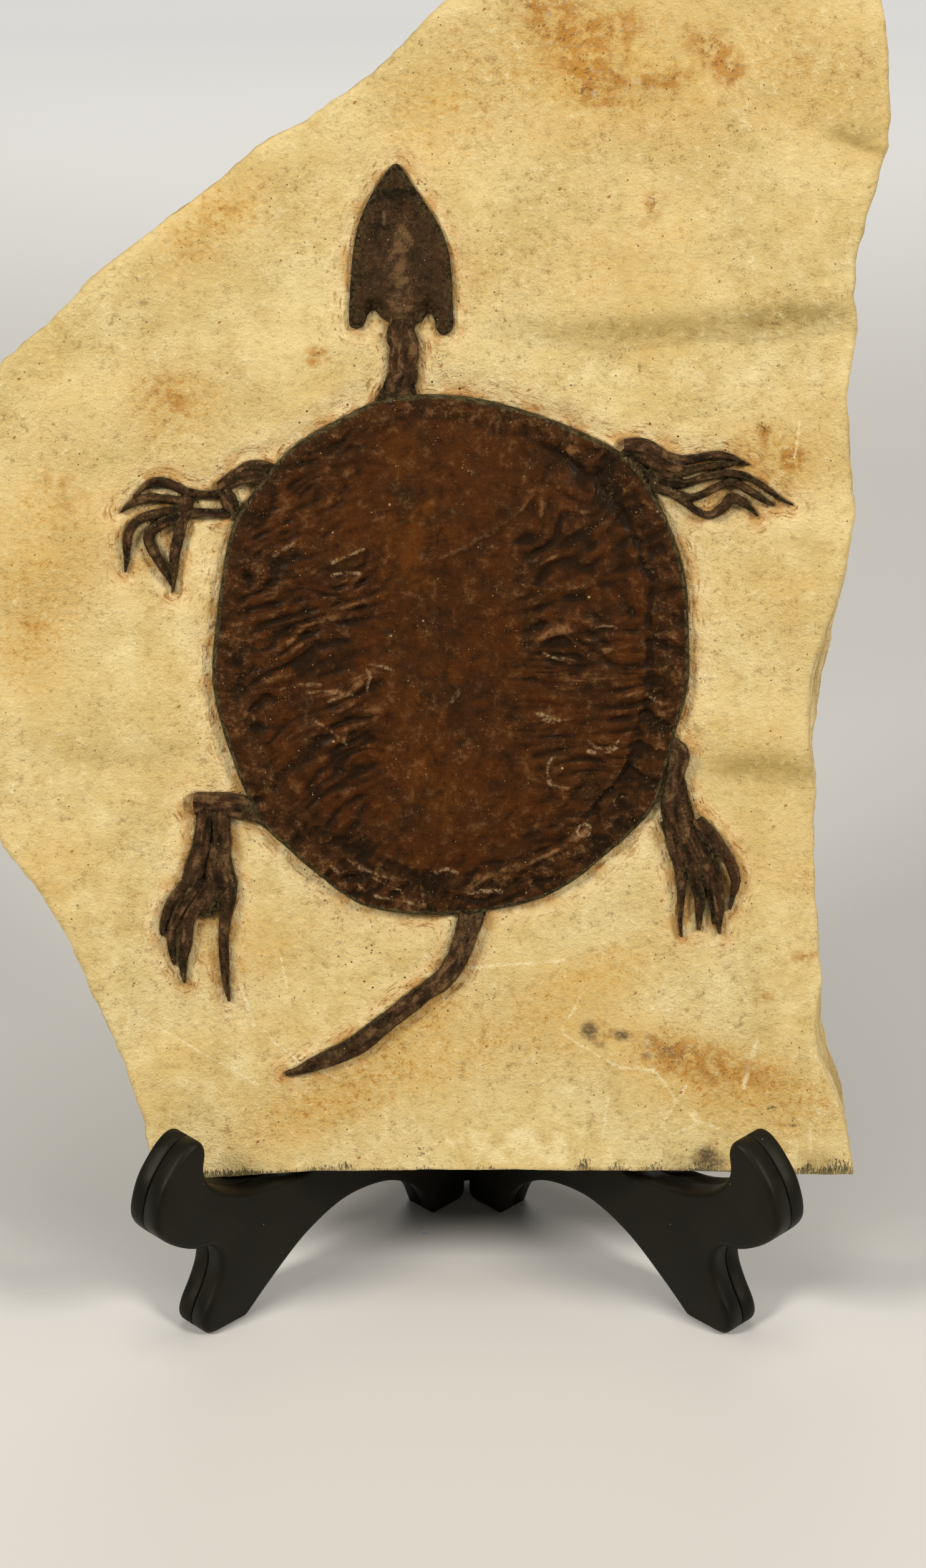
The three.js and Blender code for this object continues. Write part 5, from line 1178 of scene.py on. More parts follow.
def shell_height(x, y, to_edge):
    """The shell's height, and its measures: creases and crests, paleness of lips, share of rim, place
    across the wrinkles and share of flank."""
    u = x - SHELL_MIDDLE[0]
    dome = 1.05 + 2.6 * ease(to_edge, 0, 34) + 0.5 * ease(to_edge, 0, 2.2)
    inner = 0.5 * lumps(x, y, 6, 252) - beyond(INNER_EDGE, x, y)
    on_rim = 1 - ease(inner, -1.0, 0.3)
    crisp = 0.25 + 0.75 * ease(u, 8, 30) * ease(y, 74, 90) + 0.2 * ease(-y, -84, -70)
    flank = ease(np.abs(u), 7, 22 + 5 * lumps(y, y, 17, 214)) * ease(inner, -5, 2)
    flank = np.maximum(flank, 0.7 * (1 - ease(y, 66, 82)))
    middle = 1 - flank
    wrinkles, across = flank_wrinkles(x, y, flank)
    swell = middle * (0.42 * rough(x, y, 11, 220) + 0.24 * rough(x / 1.6, y, 3.2, 226))
    keel = 0.25 * np.exp(-(((x + 8.6) / 2.2) ** 2)) * middle
    ridges, lips = ridges_and_lips(x, y)
    joint = plate_joints(x, y)
    plates = 0.2 * crisp * ease(joint, 0, 3.0) + 0.6 * rough(x, y, 4.2, 244) + 0.45 * rough(x, y, 1.7, 248, 2)
    plates = on_rim * plates
    groove = -0.75 * crisp * np.exp(-((inner / 0.8) ** 2)) - 0.4 * crisp * on_rim
    suture = -0.35 * crisp * on_rim * (1 - ease(joint, 0.15, 0.8))
    pits = -0.15 * ease(rough(x, y, 2.2, 256, 2), 0.3, 0.55) * (0.4 + 0.6 * on_rim)
    height = dome + wrinkles + swell + keel + ridges + plates + groove + suture + pits
    # the finish paints shade where this measure is low, and a lighter tone, partly wear and partly painted
    # highlight, where it is high
    crest = wrinkles + ridges + 0.7 * plates + 0.7 * groove + suture + 0.6 * swell + pits
    return height, crest, lips, on_rim, across, flank


# %% A relief that stands in the stone
def make_relief(name, outline, spacing, height, seat, finish, slot, nodes, lip):
    """The relief's face, a rounded brow of width `lip` and a wall down to its seat."""
    foot_ring = even_steps(outline, spacing)
    brow = inward(foot_ring, lip * 0.35)
    ring = inward(foot_ring, lip)
    face = scatter(ring, spacing, 3)
    x, y = np.vstack([ring, face]).T
    top, measures = height(x, y, distance_to(outline, x, y))
    count = len(ring)
    levels = [np.full(count, seat), top[:count] - lip * 1.5, top[:count] - lip * 0.45, top[:count]]
    walls = [foot_ring, foot_ring, brow, ring]
    wall_points = [np.column_stack([r, h]) for r, h in zip(walls, levels)]
    points = np.vstack([*wall_points, np.column_stack([face, top[count:]])])
    on_walls = len(walls) - 1  # the last ring is counted with the face
    bottom = fill(foot_ring, np.zeros((0, 2)))[:, ::-1]
    faces = [*stack(walls), *(fill(ring, face) + count * on_walls), *bottom]
    measures = {key: np.concatenate([np.tile(v[:count], on_walls), v]) for key, v in measures.items()}
    piece(name, points, faces, slab_board, finish, slot, nodes, **measures)


# %% [markdown]
# ## Fossil bone as a material
#
# The bone is stained almost black-brown, and the shell's middle glows red-brown under an old
# varnish. Creases get painted shade; crests are painted lighter, partly wear showing greyish
# stone and partly painted highlight. Pale grains of dust and matrix are caught everywhere. One
# recipe makes both finishes, with the shell's warm middle as an extra.

# %% The bone's colours
BONE = {
    "crust": paint(96, 84, 56), "warm crust": paint(126, 108, 78), "chalk": paint(164, 138, 100),
    "dust": paint(184, 156, 112), "rust": paint(72, 38, 20),
    "dark skirt": paint(38, 34, 20), "light skirt": paint(88, 80, 52),
}
# from the painted crease shade's over the dark and the plain bone's to the crests', worn and partly painted
# highlight
SHELL_TONES = (paint(24, 13, 5), paint(45, 25, 8), paint(72, 40, 14), paint(130, 92, 56))
SHELL_WARMTH = (paint(68, 33, 6), paint(104, 58, 10))
DARK_TONES = (paint(17, 12, 7), paint(44, 30, 18), paint(68, 45, 27), paint(124, 94, 62))
print("bone colours:", len(BONE) + len(SHELL_TONES) + len(SHELL_WARMTH) + len(DARK_TONES))


# %% The bone's finish, layer by layer
def warm_middle(f, colour, place, x, inner, broad, warm, dark):
    """The shell's red-brown middle, with embers along its spine and shade between them."""
    colour = f.mix(colour, warm[0], inner * (0.35 + broad.ramp(0.35, 0.62) * 0.6))
    spine = (x + 11 + (f.cloud(place, 20, 2) - 0.5) * 24).math("ABSOLUTE").ramp(11, 1)
    ember = f.cloud(f.stretched(place, 6, 10, 6, 1.5), 1, 4, 0.6).ramp(0.46, 0.68)
    colour = f.mix(colour, warm[1], ember * inner * (0.2 + spine * 0.8) * 0.5)
    shade = f.cloud(place, 7.5, 5, 0.62).ramp(0.53, 0.36) * inner
    return f.mix(colour, dark, shade * 0.85)


def warm_crust(f, colour, place, rim):
    """Crusts of matrix on the shell, and the streaked skirt where it meets the stone."""
    crust = f.cloud(place, 1.3, 6, 0.75).ramp(0.56, 0.68) * f.cloud(place, 8, 2).ramp(0.42, 0.6)
    colour = f.mix(colour, BONE["warm crust"], crust * (0.3 + rim * 0.7) * 0.7)
    streaks = f.cloud(f.stretched(place, 2, 2, 0.3), 1, 4, 0.7).ramp(0.42, 0.6)
    return f.mix(colour, f.mix(BONE["dark skirt"], BONE["light skirt"], streaks), rim.ramp(1.1, 1.45) * 0.85)


def bone_dust(f, place):
    """Pale grains of four sizes, the finer three in clusters."""
    clusters = f.cloud(place, 5, 4, 0.65)
    dust = f.grains(place, 0.55, 0.5, 0.24) * clusters.ramp(0.54, 0.66)
    dust = dust + f.grains(place, 1.3, 0.24, 0.16) * clusters.ramp(0.46, 0.62)
    dust = dust + f.grains(place, 2.6, 0.35, 0.08) * clusters.ramp(0.42, 0.58)
    return dust + f.grains(place, 7, 0.45, 0.055)


def fossil_bone(name, tones, gloss, specular, warm=None, coat=None):
    """Bone in four tones; with `warm` it gets the shell's red-brown middle, with `coat` its old varnish."""
    f = Finish(name, Coat_Roughness=0.25, Specular_IOR_Level=specular, Specular_Tint=(1.0, 0.72, 0.44, 1))
    place = f.place()
    x, y = (f.node("SeparateXYZ", None, {0: place}, axis) for axis in "XY")
    crest, lip, rim, fibre, drawn = (f.measure(key) for key in ("crest", "lip", "rim", "fibre", "drawn"))
    broad, middle, fine = f.cloud(place, 15, 4), f.cloud(place, 2.6, 5, 0.65), f.cloud(place, 0.4, 3, 0.6)
    mottle = f.cloud(place, 2.8 if warm else 1.0, 6, 0.74)
    threads = f.cloud(f.node("CombineXYZ", None, {0: x / 4, 1: y / 4, 2: fibre / 0.8}), 1, 3, 0.6)
    threads = (threads - 0.5) * drawn
    crease_shade, dark, plain, worn_and_highlight = tones
    level = crest + threads * (0.9 if warm else 1.5) + (fine - 0.5) * (0.5 if warm else 1.5)

    # higher relief gets a little lighter: some painted light on the raised parts, mixed with random tone
    colour = f.mix(dark, plain, middle.ramp(0.34, 0.62) * 0.7 + level.ramp(0.0, 0.5) * 0.3)
    if warm:
        colour = warm_middle(f, colour, place, x, 1 - rim, broad, warm, dark)
    else:
        rust = f.cloud(place, 6, 4).ramp(0.44, 0.64) * 0.35 * (1 - rim) * drawn
        colour = f.mix(colour, BONE["rust"], rust)
    # the mottle that raises the bump also tints it, darker in its dips and lighter on its high spots: partly
    # the bone's own blotches, partly painted shade and painted highlight
    colour = f.mix(colour, crease_shade, mottle.ramp(0.5, 0.3) * 0.85)
    colour = f.mix(colour, worn_and_highlight, mottle.ramp(0.52, 0.68) * ((0.38 if warm else 0.22) + 0.3 * rim))
    # painted highlight, partly wear showing greyish stone, on the relief's crests; painted shade in its
    # creases
    colour = f.mix(colour, worn_and_highlight, level.ramp(0.15, 0.65) * middle.ramp(0.38, 0.6) * 0.8)
    colour = f.mix(colour, crease_shade, level.ramp(-0.05, -0.5) * 0.92)
    chalk = lip.ramp(0.2, 0.9) * f.cloud(place, 0.9, 5, 0.75).ramp(0.42, 0.58)
    colour = f.mix(colour, BONE["chalk"], chalk * 0.8)
    if warm:
        colour = warm_crust(f, colour, place, rim)
    else:
        crust = f.cloud(place, 0.9, 5, 0.75).ramp(0.42, 0.6) * (0.12 + rim * 0.8)
        colour = f.mix(colour, BONE["crust"], crust * 0.75)
    dust = bone_dust(f, place)
    colour = f.mix(colour, BONE["dust"], dust * 0.8)

    shine = gloss + middle.ramp(0.4, 0.7) * 0.16 + dust * 0.3 + chalk * 0.3
    grit = mottle * 1.9 + fine * 0.4 + dust * 0.4 + threads * 1.2
    grit = grit + f.cloud(place, 1.1, 4, 0.7) * (0.2 + rim * 0.6)
    varnish = (1 - rim * 0.6) * f.cloud(place, 6, 3).ramp(0.32, 0.55) * coat if coat else None
    return f.finish(colour, shine, grit, 0.3, varnish)


# %% Build the shell
def shell_face(x, y, to_edge):
    height, crest, lips, on_rim, across, flank = shell_height(x, y, to_edge)
    skirt = 0.6 * (1 - ease(to_edge, 0.6, 1.2 + 0.4 * lumps(x, y, 4, 260)))
    rim, drawn_fibres = on_rim + skirt, 0.1 + 0.2 * flank
    return height, {"crest": crest, "lip": lips, "rim": rim, "fibre": across, "drawn": drawn_fibres}


shell_finish = fossil_bone("shell bone", SHELL_TONES, gloss=0.46, specular=0.12, warm=SHELL_WARMTH, coat=0.03)
spacing = 0.52
make_relief(
    "shell_relief", shell_edge, spacing, shell_face, SHELL_SEAT, shell_finish, "shell_bone", ["shell"],
    lip=0.55,
)

# %% [markdown]
# ## The skull
#
# An arrowhead with two short prongs at the back. A pale ridge runs down its middle and widens
# towards the neck, a dark groove crosses the snout, and the eye sockets are two shallow dimples.

# %% The skull's height
BONE_SEAT = -1.3  # where the walls of skull, neck, tail and limbs end inside the stone
SKULL_MIDDLE = -14.6  # x of the ridge
EYES = [(-4.7, 211.2), (2.9, 211.2)]  # across from the middle, and y
NOTCHES = [(-6.2, 192.2), (5.4, 192.2)]


def spot(side, y, middle, wide, long):
    """1 at a place on the skull, falling softly to 0 round it."""
    return np.exp(-(((side - middle[0]) / wide) ** 2) - (((y - middle[1]) / long) ** 2))


def skull_face(x, y, to_edge):
    side = x - SKULL_MIDDLE
    height = 0.7 + 1.5 * ease(to_edge, 0, 3.2) + 0.6 * ease(to_edge, 2, 10)
    back = ease(-y, -214, -190)
    ridge = np.exp(-((side / (0.9 + 2.6 * back)) ** 2)) * ease(-y, -212, -204)
    height += 0.5 * ridge
    groove = y - (215.0 + 0.9 * np.cos(side / 3.4))
    height -= 0.5 * np.exp(-((groove / 0.65) ** 2)) * ease(to_edge, 0.3, 1.5)
    for eye in EYES:
        height -= 0.45 * spot(side, y, eye, 1.5, 2.1)
    for notch in NOTCHES:
        height -= 1.1 * spot(side, y, notch, 0.9, 1.5)
    uneven = 0.7 * rough(x, y, 4.5, 300) + 0.5 * rough(x, y, 1.6, 304)
    height += 0.3 * uneven
    streak = spot(side, y, (-3.4, 210.6), 0.6, 2.6) + 0.8 * spot(side, y, (0.1, 216.9), 1.1, 0.7)
    # the crest measure: the finish paints highlight on the ridge, and shade in the snout's groove and along
    # the skull's edge
    crest = 0.75 * ridge + 0.5 * uneven - 0.9 * np.exp(-((groove / 0.9) ** 2))
    crest -= 0.5 * (1 - ease(to_edge, 0.2, 1.4))
    crest += 0.35 * rough(x, y, 2.2, 308)
    return height, {
        "crest": crest,
        "lip": 0.15 * ridge * back + 0.6 * streak,
        "rim": 0.15 + 0.6 * (1 - ease(to_edge, 0.3, 2.5)),
        "fibre": 0.3 * to_edge,
        "drawn": np.full(x.shape, 0.4),
    }


bone_finish = fossil_bone("dark bone", DARK_TONES, gloss=0.5, specular=0.14)
make_relief(
    "skull_relief", skull_edge, 0.45, skull_face, BONE_SEAT, bone_finish, "dark_bone", ["skull"], lip=0.3,
)

# %% [markdown]
# ## Limbs, neck and tail
#
# Each is a bundle of thin bones that grew together with the stone between them. Every bone is
# lofted as its own low ridge, then the bundle is wrapped in one skin by a voxel remesh, which
# melts the ridges together without seams. Last, each point is moved by fine fibres that run
# along the nearest bone.

# %% Loft, wrap and fibre a bundle of bones
SQUARENESS = (0.7, 0.5)  # below 1 the section is fuller than an ellipse, across and upwards
SECTION = [
    (math.copysign(abs(math.cos(a)) ** SQUARENESS[0], math.cos(a)), math.sin(a) ** SQUARENESS[1])
    for a in np.linspace(0, math.pi, 13)
]
SPINE = ("neck", "tail")  # single rows of thick bones; the limbs are bundles of thin ones


def loft(line):
    """A closed ridge over one centre line, rounded across and at both ends."""
    centres, along = line[:, :2], np.gradient(line[:, :2], axis=0)
    along /= np.hypot(*along.T)[:, None]
    side = np.stack([-along[:, 1], along[:, 0]], 1)
    rings = []
    for (cx, cy), (sx, sy), width, height in zip(centres, side, line[:, 2], line[:, 3]):
        ring = [(cx + sx * width * a, cy + sy * width * a, height * b) for a, b in SECTION]
        ring += [(cx - sx * width, cy - sy * width, BONE_SEAT), (cx + sx * width, cy + sy * width, BONE_SEAT)]
        rings.append(np.array(ring))
    count, last = len(rings[0]), len(rings) - 1
    faces = [list(face) for face in stack(rings)]
    faces += [list(range(count))[::-1], [last * count + i for i in range(count)]]
    return np.vstack(rings), faces


def gathered(parts):
    """Several parts as one list of points and faces."""
    points, faces, start = [], [], 0
    for part_points, part_faces in parts:
        points.append(part_points)
        faces += [[i + start for i in face] for face in part_faces]
        start += len(part_points)
    return np.vstack(points), faces


def wrapped(name, lines, voxel):
    """The bundle as one skin: lofts joined, remeshed and relaxed."""
    points, faces = gathered([loft(line) for line in lines])
    mesh = bpy.data.meshes.new(name)
    mesh.from_pydata((points * MM).tolist(), [], faces)
    thing = placed(name, mesh)
    remesh = thing.modifiers.new("wrap", "REMESH")
    remesh.mode, remesh.voxel_size, remesh.adaptivity = "VOXEL", voxel * MM, 0
    relax = thing.modifiers.new("relax", "SMOOTH")
    relax.factor, relax.iterations = 0.5, 1
    done = bpy.data.meshes.new_from_object(thing.evaluated_get(bpy.context.evaluated_depsgraph_get()))
    bpy.data.objects.remove(thing)
    points = np.array([v.co for v in done.vertices]) / MM
    return points, [list(p.vertices) for p in done.polygons]


def make_bundle(limb):
    lines = bone_lines[limb]
    points, faces = wrapped(limb, lines + web_lines.get(limb, []), 0.22)
    x, y, z = points.T
    fibre, uneven = (0.16, 0.2) if limb in SPINE else (0.26, 0.1)
    x, y = x + uneven * rough(x, y, 1.7, 420), y + uneven * rough(x, y, 1.7, 424)
    gap, across, along, spare = nearest_bone(lines, x, y)
    threads = 0.6 * lumps(along / 5.0, across, 0.62, 400) + 0.7 * lumps(along / 3.0, across, 1.5, 404)
    knuckle = rough(x, y, 3.2, 408) + 0.6 * rough(x, y, 1.3, 410)
    between = np.exp(-((spare / 0.32) ** 2)) * ease(gap, -1.6, -0.5)
    upper = ease(z, 0.0, 0.9)
    # a bone that runs in under the shell sinks towards it
    outside = beyond(shell_edge, x, y)
    z = np.minimum(z, 0.5 + 1.7 * ease(outside, -0.4, 2.4))
    lift = upper * (fibre * threads + (0.12 + uneven) * knuckle - 0.3 * between)
    z = np.where(inside(shell_edge, x, y), np.minimum(z, 0.6), z + lift)
    side = ease(gap, -0.7, 0.1)
    crusted = np.maximum(np.maximum(side, between), 1 - ease(outside, 0, 2.5))
    if limb in SPINE:
        crusted = np.maximum(crusted, 0.5 * ease(knuckle, -0.1, 0.5))
    chalk = between * ease(lumps(x, y, 2.2, 412), -0.5, 0.2) * (1 - side) * 0.9
    piece(
        limb + "_bones", np.column_stack([x, y, z]), faces, slab_board, bone_finish, "dark_bone", [limb],
        # follows the fibres' and knuckles' relief and drops at each bone's sides, so the finish paints shade
        # in the dips and at the sides and highlight on the ridges
        crest=0.8 * threads + 0.5 * knuckle - 0.5 * side + 0.1,
        lip=chalk,
        rim=crusted,
        fibre=across + 2.3 * np.floor(along / BONE_STRIDE),
        drawn=np.ones(len(x)),
    )


for limb in BONES:
    make_bundle(limb)

# %% [markdown]
# ## The easel
#
# Two flat leaves stand at a right angle like an open book. Each is glued up from two thin
# mouldings, so a fine seam runs round the middle of its edge, and each edge is rounded over.
# In front the leaf ends in a foot and, above it, a round hook that keeps the stone from sliding
# off. At the back both leaves carry knuckles on a steel pin. The outline is drawn once in the
# leaf's own plane and used for all four mouldings.

# %% The leaf's outline: s forwards from the hinge line, z up
HINGE = Vector((-0.4, 64.2, 0))
LEAF_THICKNESS = 10.0
LEAF_TOP = 126.0
SPREAD = math.radians(45)
SLAB_THICKNESS = 9
HEEL_Y = SLAB_FOOT.y + SLAB_THICKNESS * math.cos(LEAN)  # the heel: the slab's lower back edge
HEEL_Z = SLAB_FOOT.z - SLAB_THICKNESS * math.sin(LEAN)
SKIN_GAP = 0.3
LEDGE_RISE = 0.14  # the ledge climbs forwards, so the stone stays on it


def rest(s):
    """Height of the ledge that carries the stone."""
    under_heel = (HINGE.y - HEEL_Y) / math.cos(SPREAD) + LEAF_THICKNESS
    return HEEL_Z - SKIN_GAP - (under_heel - s) * LEDGE_RISE


def upright(z):
    """How far forward the upright reaches at a height: it follows the leaning stone."""
    return (HINGE.y - HEEL_Y - (z - HEEL_Z) * math.tan(LEAN)) / math.cos(SPREAD) - 1.4 * SKIN_GAP


def leaf_outline():
    """The leaf's edge in smooth stretches: heel, arch, foot and hook, ledge and brow."""
    corner, top = upright(rest(50)), LEAF_TOP
    arch = [
        [10.6, 0], [12.8, 5.6], [16.8, 10.4], [23.4, 14.8], [31, 16.9], [40.7, 17], [51.9, 13], [62.4, 6],
        [69.4, 0.6], [70.6, 0],
    ]
    foot_and_hook = [
        [79.4, 0], [81.6, 0.7], [82.7, 3.0], [81.9, 6.2], [79.4, 10.4], [77.5, 14.5], [77, 18], [77.8, 21.2],
        [79.6, 23], [84.6, 24.4], [90.4, 28.2], [94.3, 32.8], [94.7, 37], [92.6, 42.8], [89.4, 46.9],
        [86.4, 49.6], [83.6, 51], [81.2, 50.6], [80, 47.8], [80.6, 43.4], [79.5, 39.7], [75.4, 35.7],
        [68.7, rest(68.7) + 0.3], [62, rest(62)],
    ]
    brow = [
        [upright(top), top], [upright(top) - 1.6, top + 3], [3.4, top + 4], [0.8, top + 2.6], [0, top - 0.5],
    ]
    bends = [
        ([[0, 2.2], [0.7, 0.7], [2.2, 0]], 4),
        (arch, 5),
        (foot_and_hook, 5),
        ([[corner + 0.4, rest(corner)], [upright(rest(corner) + 1), rest(corner) + 1]], 1),
        (brow, 5),
    ]
    return np.vstack([smooth_line(points, steps) for points, steps in bends])


outline = even_steps(leaf_outline(), 0.9)
print("leaf outline points:", len(outline), "from", outline.min(0).round(1), "to", outline.max(0).round(1))

# %% A moulding: rounded over at the face, slightly eased at the seam
ROUND_OVER = 1.5
SEAM_EASE = 0.22


def moulding(depth_from, depth_to):
    """Points and faces of one half of a leaf; depth_from is its outer face, depth_to the seam."""
    sign = 1 if depth_to > depth_from else -1
    rings, levels = [], []
    for angle in np.linspace(0, math.pi / 2, 7):
        rings.append(inward(outline, ROUND_OVER * (1 - math.sin(angle))))
        levels.append(depth_from + sign * ROUND_OVER * (1 - math.cos(angle)))
    rings += [outline, inward(outline, SEAM_EASE)]
    levels += [depth_to - sign * SEAM_EASE, depth_to]
    points = [np.insert(ring, 1, level, axis=1) for ring, level in zip(rings, levels)]
    none = np.zeros((0, 2))
    faces, cap = [*stack(rings)], fill(rings[0], none)
    seam = fill(rings[-1], none) + len(outline) * (len(rings) - 1)
    if sign > 0:
        faces, seam = [face[::-1] for face in faces], seam[:, ::-1]
    else:
        cap = cap[:, ::-1]
    return np.vstack(points), [*faces, *cap, *seam]


# %% [markdown]
# ## Knuckles and pin
#
# The hinge is two knuckles on each leaf, one above the other by turns, with a wire pin through
# all four. A knuckle is a short tube with a web to its leaf. It is turned on a lathe: the profile
# goes up the outside between two rounded mouths and comes down the hole.

# %% A knuckle with its web
PIN_BEHIND = 4.85  # the pin's axis, behind the hinge corner in both leaves' directions
KNUCKLE = {"outer": 4.5, "hole": 2.0, "length": 27.6, "pitch": 28.0, "first": 3.0}
WEB_HALF_WIDTH = 3.1
WEB_SHORTER = 0.3  # at each end


def lathe(profile, sides):
    """Rings round the z axis, one for each radius and height of the profile."""
    turn = np.linspace(0, 2 * math.pi, sides, endpoint=False)
    return [np.column_stack([r * np.cos(turn), r * np.sin(turn), np.full(sides, z)]) for r, z in profile]


def tube(outer, inner, low, high, soft=0.5, sides=40):
    """A closed tube or, with no inner radius, a rod, with rounded mouths."""
    bends = [math.radians(a) for a in (0, 30, 60, 90)]
    profile = [(outer - soft + soft * math.sin(a), low + soft - soft * math.cos(a)) for a in bends]
    profile += [(outer - soft + soft * math.cos(a), high - soft + soft * math.sin(a)) for a in bends]
    if inner:
        profile += [(inner, high), (inner, low)]
    rings = lathe(profile, sides)
    faces = [list(face) for face in stack(rings)]
    if inner:
        last = (len(rings) - 1) * sides
        faces += [[last + i, last + (i + 1) % sides, (i + 1) % sides, i] for i in range(sides)]
    else:
        faces += [list(range(sides))[::-1], [len(faces) + i for i in range(sides)]]
    return np.vstack(rings), faces


def web(low, high):
    """The block that ties a knuckle to its leaf."""
    x0, x1 = -PIN_BEHIND + KNUCKLE["hole"] + 0.6, 1.2
    y0, y1 = -PIN_BEHIND - WEB_HALF_WIDTH, -PIN_BEHIND + WEB_HALF_WIDTH
    heights = (low + WEB_SHORTER, high - WEB_SHORTER)
    points = [(x, y, z) for z in heights for x, y in ((x0, y0), (x1, y0), (x1, y1), (x0, y1))]
    faces = [[3, 2, 1, 0], [4, 5, 6, 7], [0, 1, 5, 4], [1, 2, 6, 5], [2, 3, 7, 6], [3, 0, 4, 7]]
    return np.array(points, float), faces


def knuckles(first, outwards):
    """A leaf's two knuckles with their webs; `outwards` is -1 on the left leaf and 1 on the right."""
    parts = []
    for n in (first, first + 2):
        low = KNUCKLE["first"] + n * KNUCKLE["pitch"]
        high = low + KNUCKLE["length"]
        barrel, barrel_faces = tube(KNUCKLE["outer"], KNUCKLE["hole"], low, high)
        parts += [(barrel - np.array([PIN_BEHIND, PIN_BEHIND, 0]), barrel_faces), web(low, high)]
    if outwards > 0:  # the right leaf is a mirror image, so its faces turn over too
        parts = [(points * np.array([1, -1, 1]), [face[::-1] for face in faces]) for points, faces in parts]
    return parts


knuckle_points, knuckle_faces = gathered(knuckles(0, -1))
print("left leaf's knuckles:", len(knuckle_points), "points,", len(knuckle_faces), "faces")

# %% [markdown]
# ## Moulded black plastic
#
# The plastic is near black with a soft sheen and a fine pebbled grain from its mould. Handling
# has polished it unevenly, and a few specks of dust lie on it.

# %% The plastic's and the wire's finishes
def black_plastic():
    f = Finish("black plastic", Specular_IOR_Level=0.16, Specular_Tint=(1.0, 0.94, 0.78, 1))
    place = f.place()
    pebbles, smear = f.cloud(place, 0.33, 2, 0.5), f.cloud(place, 13, 4)
    colour = f.mix((0.0048, 0.0044, 0.0026), (0.0095, 0.0086, 0.0052), smear.ramp(0.35, 0.65))
    scuffs = f.cloud(f.stretched(place, 0.35, 5, 4, 0.8), 1, 4, 0.6).ramp(0.66, 0.74)
    scuffs = scuffs * f.cloud(place, 16, 2).ramp(0.52, 0.66)
    colour = f.mix(colour, (0.06, 0.056, 0.05), scuffs * 0.5)
    dust = f.grains(place, 3.4, 0.12, 0.06)
    colour = f.mix(colour, (0.28, 0.26, 0.22), dust * 0.7)
    roughness = 0.36 + smear.ramp(0.35, 0.65) * 0.12 + pebbles * 0.1 + scuffs * 0.1
    return f.finish(colour, roughness, pebbles * 0.6 + scuffs * 0.3, 0.05)


def drawn_wire():
    f = Finish("drawn steel wire", Metallic=1.0)
    place = f.place()
    lines = f.cloud(f.stretched(place, 0.2, 0.2, 6), 1, 3)
    colour = f.mix((0.38, 0.37, 0.35), (0.58, 0.57, 0.55), lines)
    return f.finish(colour, 0.28 + lines * 0.2, lines, 0.03)


plastic, wire = black_plastic(), drawn_wire()

# %% Both leaves and the pin
HALF_SEAM = 0.12
PIN_RADIUS = 1.5
hinge_corner = Matrix.Translation(shift + HINGE * MM)
halves = {
    "inner": (0.0, LEAF_THICKNESS / 2 - HALF_SEAM),
    "outer": (LEAF_THICKNESS, LEAF_THICKNESS / 2 + HALF_SEAM),
}
for first, (side, outwards) in enumerate({"left": -1, "right": 1}.items()):
    leaf_board = hinge_corner @ Matrix.Rotation(-math.pi / 2 + outwards * SPREAD, 4, "Z")
    for half, (face_depth, seam_depth) in halves.items():
        parts = [moulding(face_depth * outwards, seam_depth * outwards)]
        if half == "inner":
            parts += knuckles(first, outwards)
        points, faces = gathered(parts)
        node = f"stand_{side}_{half}"
        piece(node + "_moulding", points, faces, leaf_board, plastic, "black_plastic", [node])

pin_board = Matrix.Translation(shift + PIN_AXIS * MM)
pin_foot, pin_top = KNUCKLE["first"] - 0.8, KNUCKLE["first"] + 4 * KNUCKLE["pitch"] + 0.4
pin_points, pin_faces = tube(PIN_RADIUS, 0, pin_foot, pin_top, 0.4, 32)
piece("hinge_wire", pin_points, pin_faces, pin_board, wire, "steel", ["hinge_pin"])

# %% [markdown]
# ## Floor, light and camera
#
# The object stands on a plain pale floor that curves up far away into an equally pale backdrop,
# all the way round, so it has the same ground from every side. Four soft studio lamps light it:
# one high in front on either side, so that both of the easel's hooks throw a soft shadow, a weak
# one behind for the back of the stone and a weak one above. The camera looks slightly down on the
# slab with a long lens.

# %% The floor and the backdrop, in metres
FLOOR_REACH = 0.45
BACKDROP_REACH = 1.9  # where the ground starts to bend up
BACKDROP_BEND = 0.7
BACKDROP_TOP = 2.6
GLOW_FULL = 1.5  # the ground's own light grows from the floor's edge to here
STAGE_SIDES = 96


def stage_ring(name, profile, glow):
    """A surface of revolution: its profile as radius and height, and its own light at each ring."""
    f = Finish(name + " finish", Roughness=0.75, Specular_IOR_Level=0.2, Emission_Strength=1.0)
    f.shader.inputs["Base Color"].default_value = (0.62, 0.61, 0.58, 1)
    shine = f.mix((0.0, 0.0, 0.0), (0.56, 0.55, 0.53), f.measure("glow"))
    f.tree.links.new(shine.socket, f.shader.inputs["Emission Color"])
    f.material.cycles.emission_sampling = "NONE"
    rings = lathe(profile, STAGE_SIDES)
    glow = np.repeat(glow, STAGE_SIDES)
    thing = drawn(name, np.vstack(rings), stack(rings)[:, ::-1], f.material, {"glow": glow})
    return thing


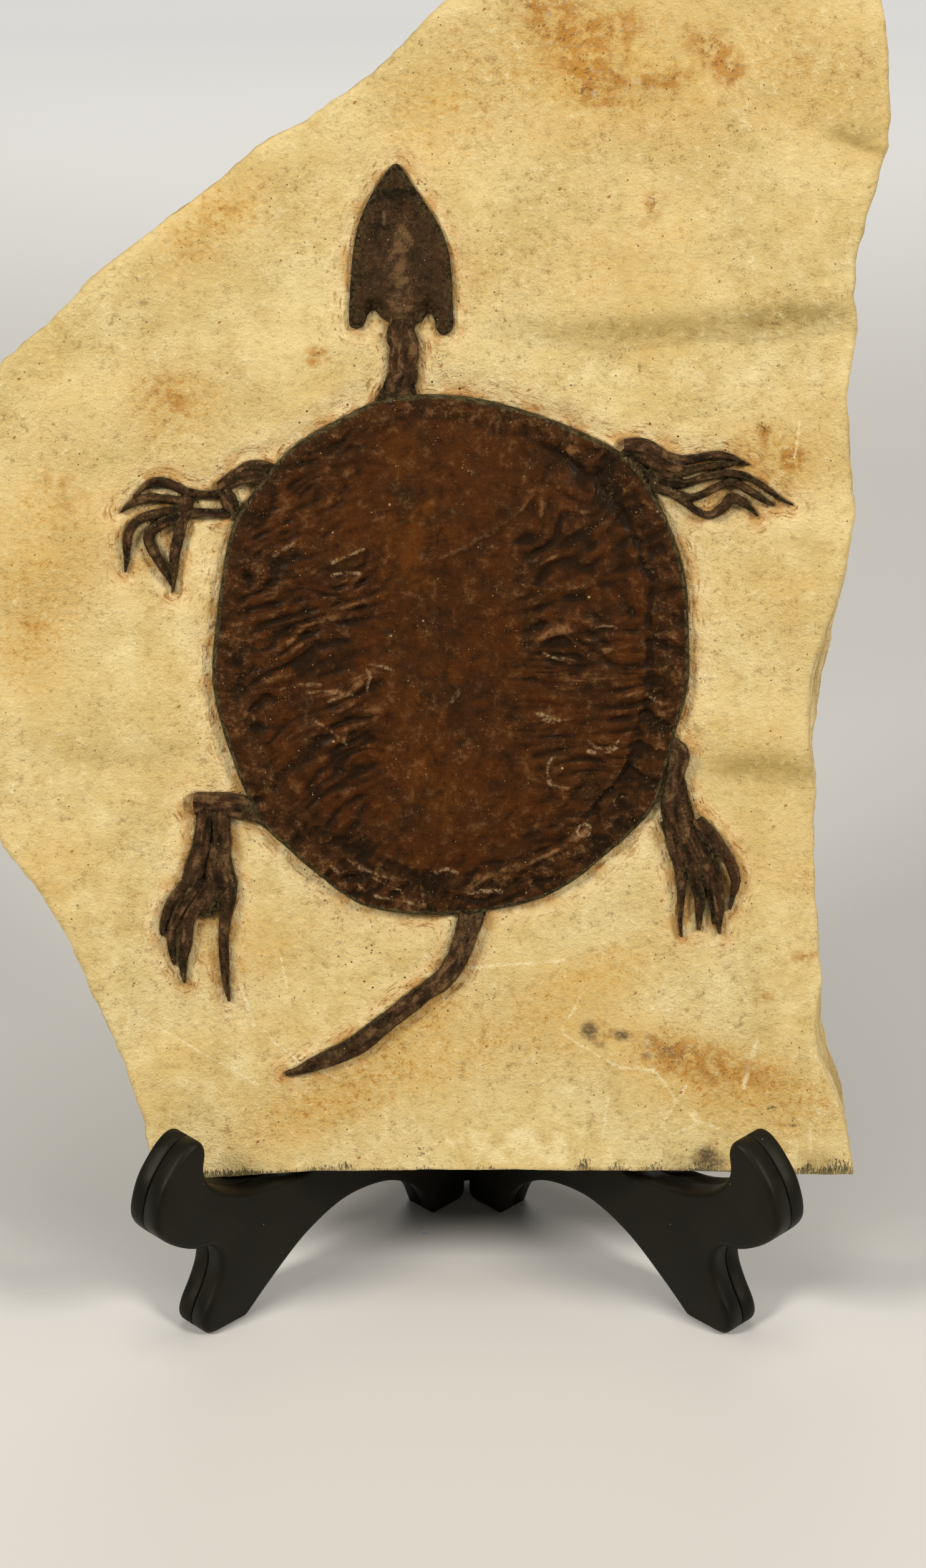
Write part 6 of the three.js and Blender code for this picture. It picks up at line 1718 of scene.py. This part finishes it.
stage_ring("floor", [(0.001, 0), (0.2, 0), (FLOOR_REACH, 0)], [0, 0, 0])
sweep = [(r, 0.0) for r in np.linspace(FLOOR_REACH, BACKDROP_REACH, 12)]
sweep += [
    (BACKDROP_REACH + BACKDROP_BEND * math.sin(a), BACKDROP_BEND * (1 - math.cos(a)))
    for a in np.linspace(0.1, math.pi / 2, 14)
]
sweep += [(BACKDROP_REACH + BACKDROP_BEND, BACKDROP_TOP)]
backdrop = stage_ring("backdrop", sweep, [float(ease(r, FLOOR_REACH, GLOW_FULL)) for r, _ in sweep])
# it is only ground for the eye: neither the object nor its reflections see its light
backdrop.visible_diffuse = backdrop.visible_glossy = False
print("backdrop rings:", len(sweep))


# %% The lamps
def lamp(name, place, target_height, size, power, tint):
    """A round soft lamp; power in watts, the rest in metres."""
    data = bpy.data.lights.new(name, "AREA")
    data.shape, data.size, data.energy, data.color = "DISK", size, power, tint
    thing = placed(name, data)
    thing.location = place
    aim = Vector((0, 0, target_height)) - Vector(place)
    thing.rotation_euler = aim.to_track_quat("-Z", "Y").to_euler()
    return thing


lamps = [
    lamp("left lamp", (-0.8, -0.6, 0.8), 0.11, 0.34, 10.8, (1.0, 0.95, 0.88)),
    lamp("right lamp", (0.8, -0.55, 0.76), 0.11, 0.34, 9.2, (1.0, 0.95, 0.88)),
    lamp("back lamp", (0.0, 1.0, 0.7), 0.12, 0.8, 3.2, (1.0, 0.97, 0.93)),
    lamp("top lamp", (0.0, -0.1, 1.3), 0.15, 0.5, 2.8, (1.0, 0.96, 0.9)),
]
world = bpy.data.worlds.new("studio")
bpy.context.scene.world = world
world.use_nodes = True
world.node_tree.nodes["Background"].inputs["Color"].default_value = (0.93, 0.95, 1.0, 1)
world.node_tree.nodes["Background"].inputs["Strength"].default_value = 0.12
print("lamps, W:", {thing.name: round(thing.data.energy, 1) for thing in lamps})

# %% The camera
CAMERA_PLACE = Vector((-1.3, -561.91, 402.02))  # mm, from the easel's own origin
LOOK_DOWN = 25  # degrees below level
camera_data = bpy.data.cameras.new("camera")
camera_data.sensor_width = 36
camera_data.lens = 70.14
camera = placed("camera", camera_data)
camera.location = shift + CAMERA_PLACE * MM
camera.rotation_euler = (math.radians(90 - LOOK_DOWN), 0, 0)
bpy.context.scene.camera = camera
bpy.context.scene.view_settings.view_transform = "Standard"
print("camera, m:", [round(c, 4) for c in camera.location])

# %% Update the view layer
bpy.context.view_layer.update()
